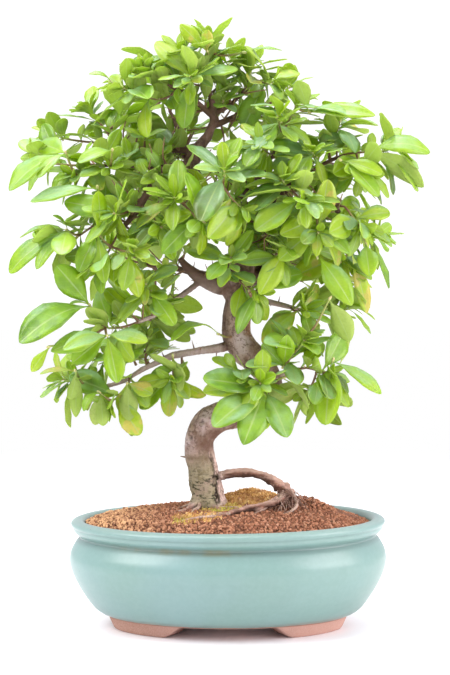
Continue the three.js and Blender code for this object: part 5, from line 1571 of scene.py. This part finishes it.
def makeBed():
    # The surface that granules and moss are strewn over. It isn't shown.
    mesh = bmesh.new()
    (wide, deep), spokes = soilShape["bed"], soilShape["spokes"]
    rings = []
    for ring in range(1, soilShape["rings"] + 1):
        reach = ring / soilShape["rings"]
        row = []
        for k in range(spokes):
            angle = 2 * math.pi * k / spokes
            x, y = wide * reach * math.cos(angle), deep * reach * math.sin(angle)
            rough = 1.3 * noise.noise(Vector((x / 7, y / 7, 2)))
            rough += 1.5 * patch(x, y, 20, 25, 34, 24) * noise.noise(Vector((x / 5, y / 5, 5)))
            row.append(mesh.verts.new((x, y, soilHeight(x, y) + rough * min(1, 8 * (1 - reach)))))
        rings.append(row)
    for inner, outer in zip(rings, rings[1:]):
        for k in range(spokes):
            j = (k + 1) % spokes
            mesh.faces.new((inner[k], outer[k], outer[j], inner[j]))
    mesh.faces.new(rings[0])
    bmesh.ops.recalc_face_normals(mesh, faces=mesh.faces)
    made = meshFrom(mesh, "bed")
    values = {"moss": [], "dry": [], "ochre": []}
    for vertex in made.vertices:
        x, y, z = vertex.co
        wobble = 0.5 + 0.9 * noise.noise(Vector((x / 9, y / 9, 0)))
        green = max(patch(x, y, *area) * amount for area, amount in mossAreas["green"])
        yellow = max(patch(x, y, *area) for area in mossAreas["yellow"])
        cover = max(green, yellow)
        values["moss"].append(limit((cover - 0.35) * 2.4 + wobble - 0.5) if cover > 0.25 else 0)
        values["dry"].append(limit(0.5 + (yellow - green) * 1.6 + 0.4 * wobble))
        front = patch(x, y, -40, -64, 26, 18)
        values["ochre"].append(min(1, limit((-x - 50) / 40) + 0.2 * front + 0.2 * max(0, wobble - 0.5)))
        vertex.co = Vector((x, y, z)) * mm + Vector(potMiddle)
    for name, column in values.items():
        setAttribute(made, name, column)
    return made


def makeStrewTree():
    # Strews one small shape over a surface, more of it where a named value is high.
    tree, given = newTree("strew", {
        "Density": ("Float", 1.0),
        "Smallest": ("Float", 0.001),
        "Largest": ("Float", 0.002),
        "Only On Moss": ("Float", 0.0),
        "Tufts": ("Bool", False),
        "Seed": ("Int", 1),
        "Finish": ("Material", None),
    })
    inputs = {0: given["Only On Moss"], 2: 1.0, 3: named(tree, "moss")}
    density = times(tree, given["Density"], outOf(tree, "ShaderNodeMix", inputs))
    inputs = {"Mesh": given["Geometry"], "Density": density, "Seed": given["Seed"]}
    points = outOf(tree, "GeometryNodeDistributePointsOnFaces", inputs)
    points = store(tree, points, "grain", drawn(tree, given, 7.0, 0.0, 1.0))
    size = drawn(tree, given, 21.0, given["Smallest"], given["Largest"])
    anyTurn = drawn(tree, given, 33.0, (-3.1, -3.1, -3.1), (3.1, 3.1, 3.1), "FLOAT_VECTOR")
    stretch = drawn(tree, given, 45.0, (0.6, 0.6, 0.5), (1.3, 1.2, 1.0), "FLOAT_VECTOR")
    crumb = outOf(tree, "GeometryNodeMeshIcoSphere", {"Radius": 1.0, "Subdivisions": 1})
    cone = {"Vertices": 4, "Side Segments": 1, "Fill Segments": 1}
    cone.update({"Radius Top": 0.05, "Radius Bottom": 0.55, "Depth": 2.6})
    spike = outOf(tree, "GeometryNodeMeshCone", cone)
    inputs = {0: given["Tufts"], 1: crumb, 2: spike}
    shape = outOf(tree, "GeometryNodeSwitch", inputs, input_type="GEOMETRY")
    inputs = {0: given["Tufts"], 1: anyTurn, 2: scaled(tree, anyTurn, 0.16)}
    turn = outOf(tree, "GeometryNodeSwitch", inputs, input_type="VECTOR")
    inputs = {0: points, "Instance": shape, "Rotation": turn, "Scale": scaled(tree, stretch, size)}
    strewn = outOf(tree, "GeometryNodeInstanceOnPoints", inputs)
    strewn = outOf(tree, "GeometryNodeRealizeInstances", {0: strewn})
    endTree(tree, setMaterial(tree, strewn, given["Finish"]))
    return tree


def drawn(tree, given, step, low, high, kind="FLOAT"):
    # A random value for each point, from a seed that stands so far from the tree's own.
    least, most, result = (2, 3, 1) if kind == "FLOAT" else (0, 1, 0)
    inputs = {least: low, most: high, "Seed": maths(tree, "ADD", given["Seed"], step)}
    return addNode(tree, "FunctionNodeRandomValue", inputs, data_type=kind).outputs[result]


def strew(name, count, sizes, finish, seed, onMoss=False, tufts=False):
    piece = addObject(name, makeBed())
    wide, deep = soilShape["bed"]
    values = {
        "Density": count / (math.pi * wide * deep * mm**2),
        "Smallest": sizes[0] * mm,
        "Largest": sizes[1] * mm,
        "Only On Moss": 1.0 if onMoss else 0.0,
        "Tufts": tufts,
        "Seed": seed,
        "Finish": finish,
    }
    return runTree(piece, strewTree, values)


# Making

addCamera()
for boxName in ("key", "fill", "top"):
    addSoftbox(boxName, **studio[boxName])
lightRoom()
bpy.context.scene.view_settings.view_transform = "Standard"
size = studio["floorSize"]
floorMesh = bpy.data.meshes.new("floor")
corners = [(-size, -size, 0), (size, -size, 0), (size, size, 0), (-size, size, 0)]
floorMesh.from_pydata(corners, [], [(0, 1, 2, 3)])
floor = addObject("floor", floorMesh)
floorMesh.materials.append(makeFloorMaterial())
print("studio ready")

leafTop = makeLeafMaterial("leaf_upper_face", True)
leafUnder = makeLeafMaterial("leaf_underside", False)
shootSkin = makeShootMaterial()
budScale = makeBudMaterial()
leafyFinishes = {
    "Upper Face": leafTop,
    "Underside": leafUnder,
    "Shoot Skin": shootSkin,
    "Bud Scale": budScale,
}
rootSkin = makeRootMaterial()
barkSkin = makeBarkMaterial()
glazeOverClay = makeGlazeMaterial()
soilBody = makeSoilMaterial("soil_body", False)
soilGrain = makeSoilMaterial("soil_granule", True)
mossTuft = makeMossMaterial()
screenPlastic = makePlasticMaterial()
print("finishes ready")

sprayTree = makeSprayTree()
leafCount = 0
shootPlaces = []
sprayNames = sorted(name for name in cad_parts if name.startswith("leafy_spray"))
for number, nodeName in enumerate(sprayNames, 1):
    spray, count, centres = growSpray(nodeName, number)
    leafCount += count
    shootPlaces.append(centres)
    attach(spray, "root")
    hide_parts(nodeName)
print("sprays grown:", len(sprayNames), "with", leafCount, "leaves of the model")

wood = makeWood()
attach(wood, "root")
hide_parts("wood")
print("wood smoothed:", len(wood.data.polygons), "faces")

spurs, spurCount = growSpurs(wood)
woodPlaces = np.array([tuple(vertex.co) for vertex in list(wood.data.vertices)[::60]])
sprigs = growFrontSprigs(np.vstack([*shootPlaces, woodPlaces]))
for piece in (spurs, sprigs):
    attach(piece, "root")
rootlets = makeRootlets()
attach(rootlets, "root")
print("spurs grown:", spurCount, "and thin roots")

pot = makePot()
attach(pot, "root")
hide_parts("pot")
print("pot thrown:", len(pot.data.polygons), "faces")

strewTree = makeStrewTree()
granules = strew("soil_granules", soilShape["granules"], soilShape["granuleSize"], soilGrain, 3)
crumbs = strew("soil_crumbs", soilShape["crumbs"], soilShape["crumbSize"], soilGrain, 8)
tufts = strew("moss_tufts", soilShape["tufts"], soilShape["tuftSize"], mossTuft, 5, True, True)
clumps = strew("moss_clumps", soilShape["clumps"], soilShape["clumpSize"], mossTuft, 6, True)
for piece in (granules, crumbs, tufts, clumps):
    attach(piece, "root")
kept = {"soil": soilBody, "drainage_screen_left": screenPlastic, "drainage_screen_right": screenPlastic}
for nodeName, finish in kept.items():
    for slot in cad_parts[nodeName].material_slots:
        slot.material = finish
print("soil strewn:", len(granules.data.polygons), "granule faces,", len(tufts.data.polygons), "moss faces")

shown = [piece for piece in bpy.data.objects if piece.type == "MESH" and not piece.hide_render]
shown.remove(floor)
faces = {piece.name: sum(len(p.vertices) - 2 for p in piece.data.polygons) for piece in shown}
print("triangles shown:", sum(faces.values()), "most:", max(faces.items(), key=lambda item: item[1]))
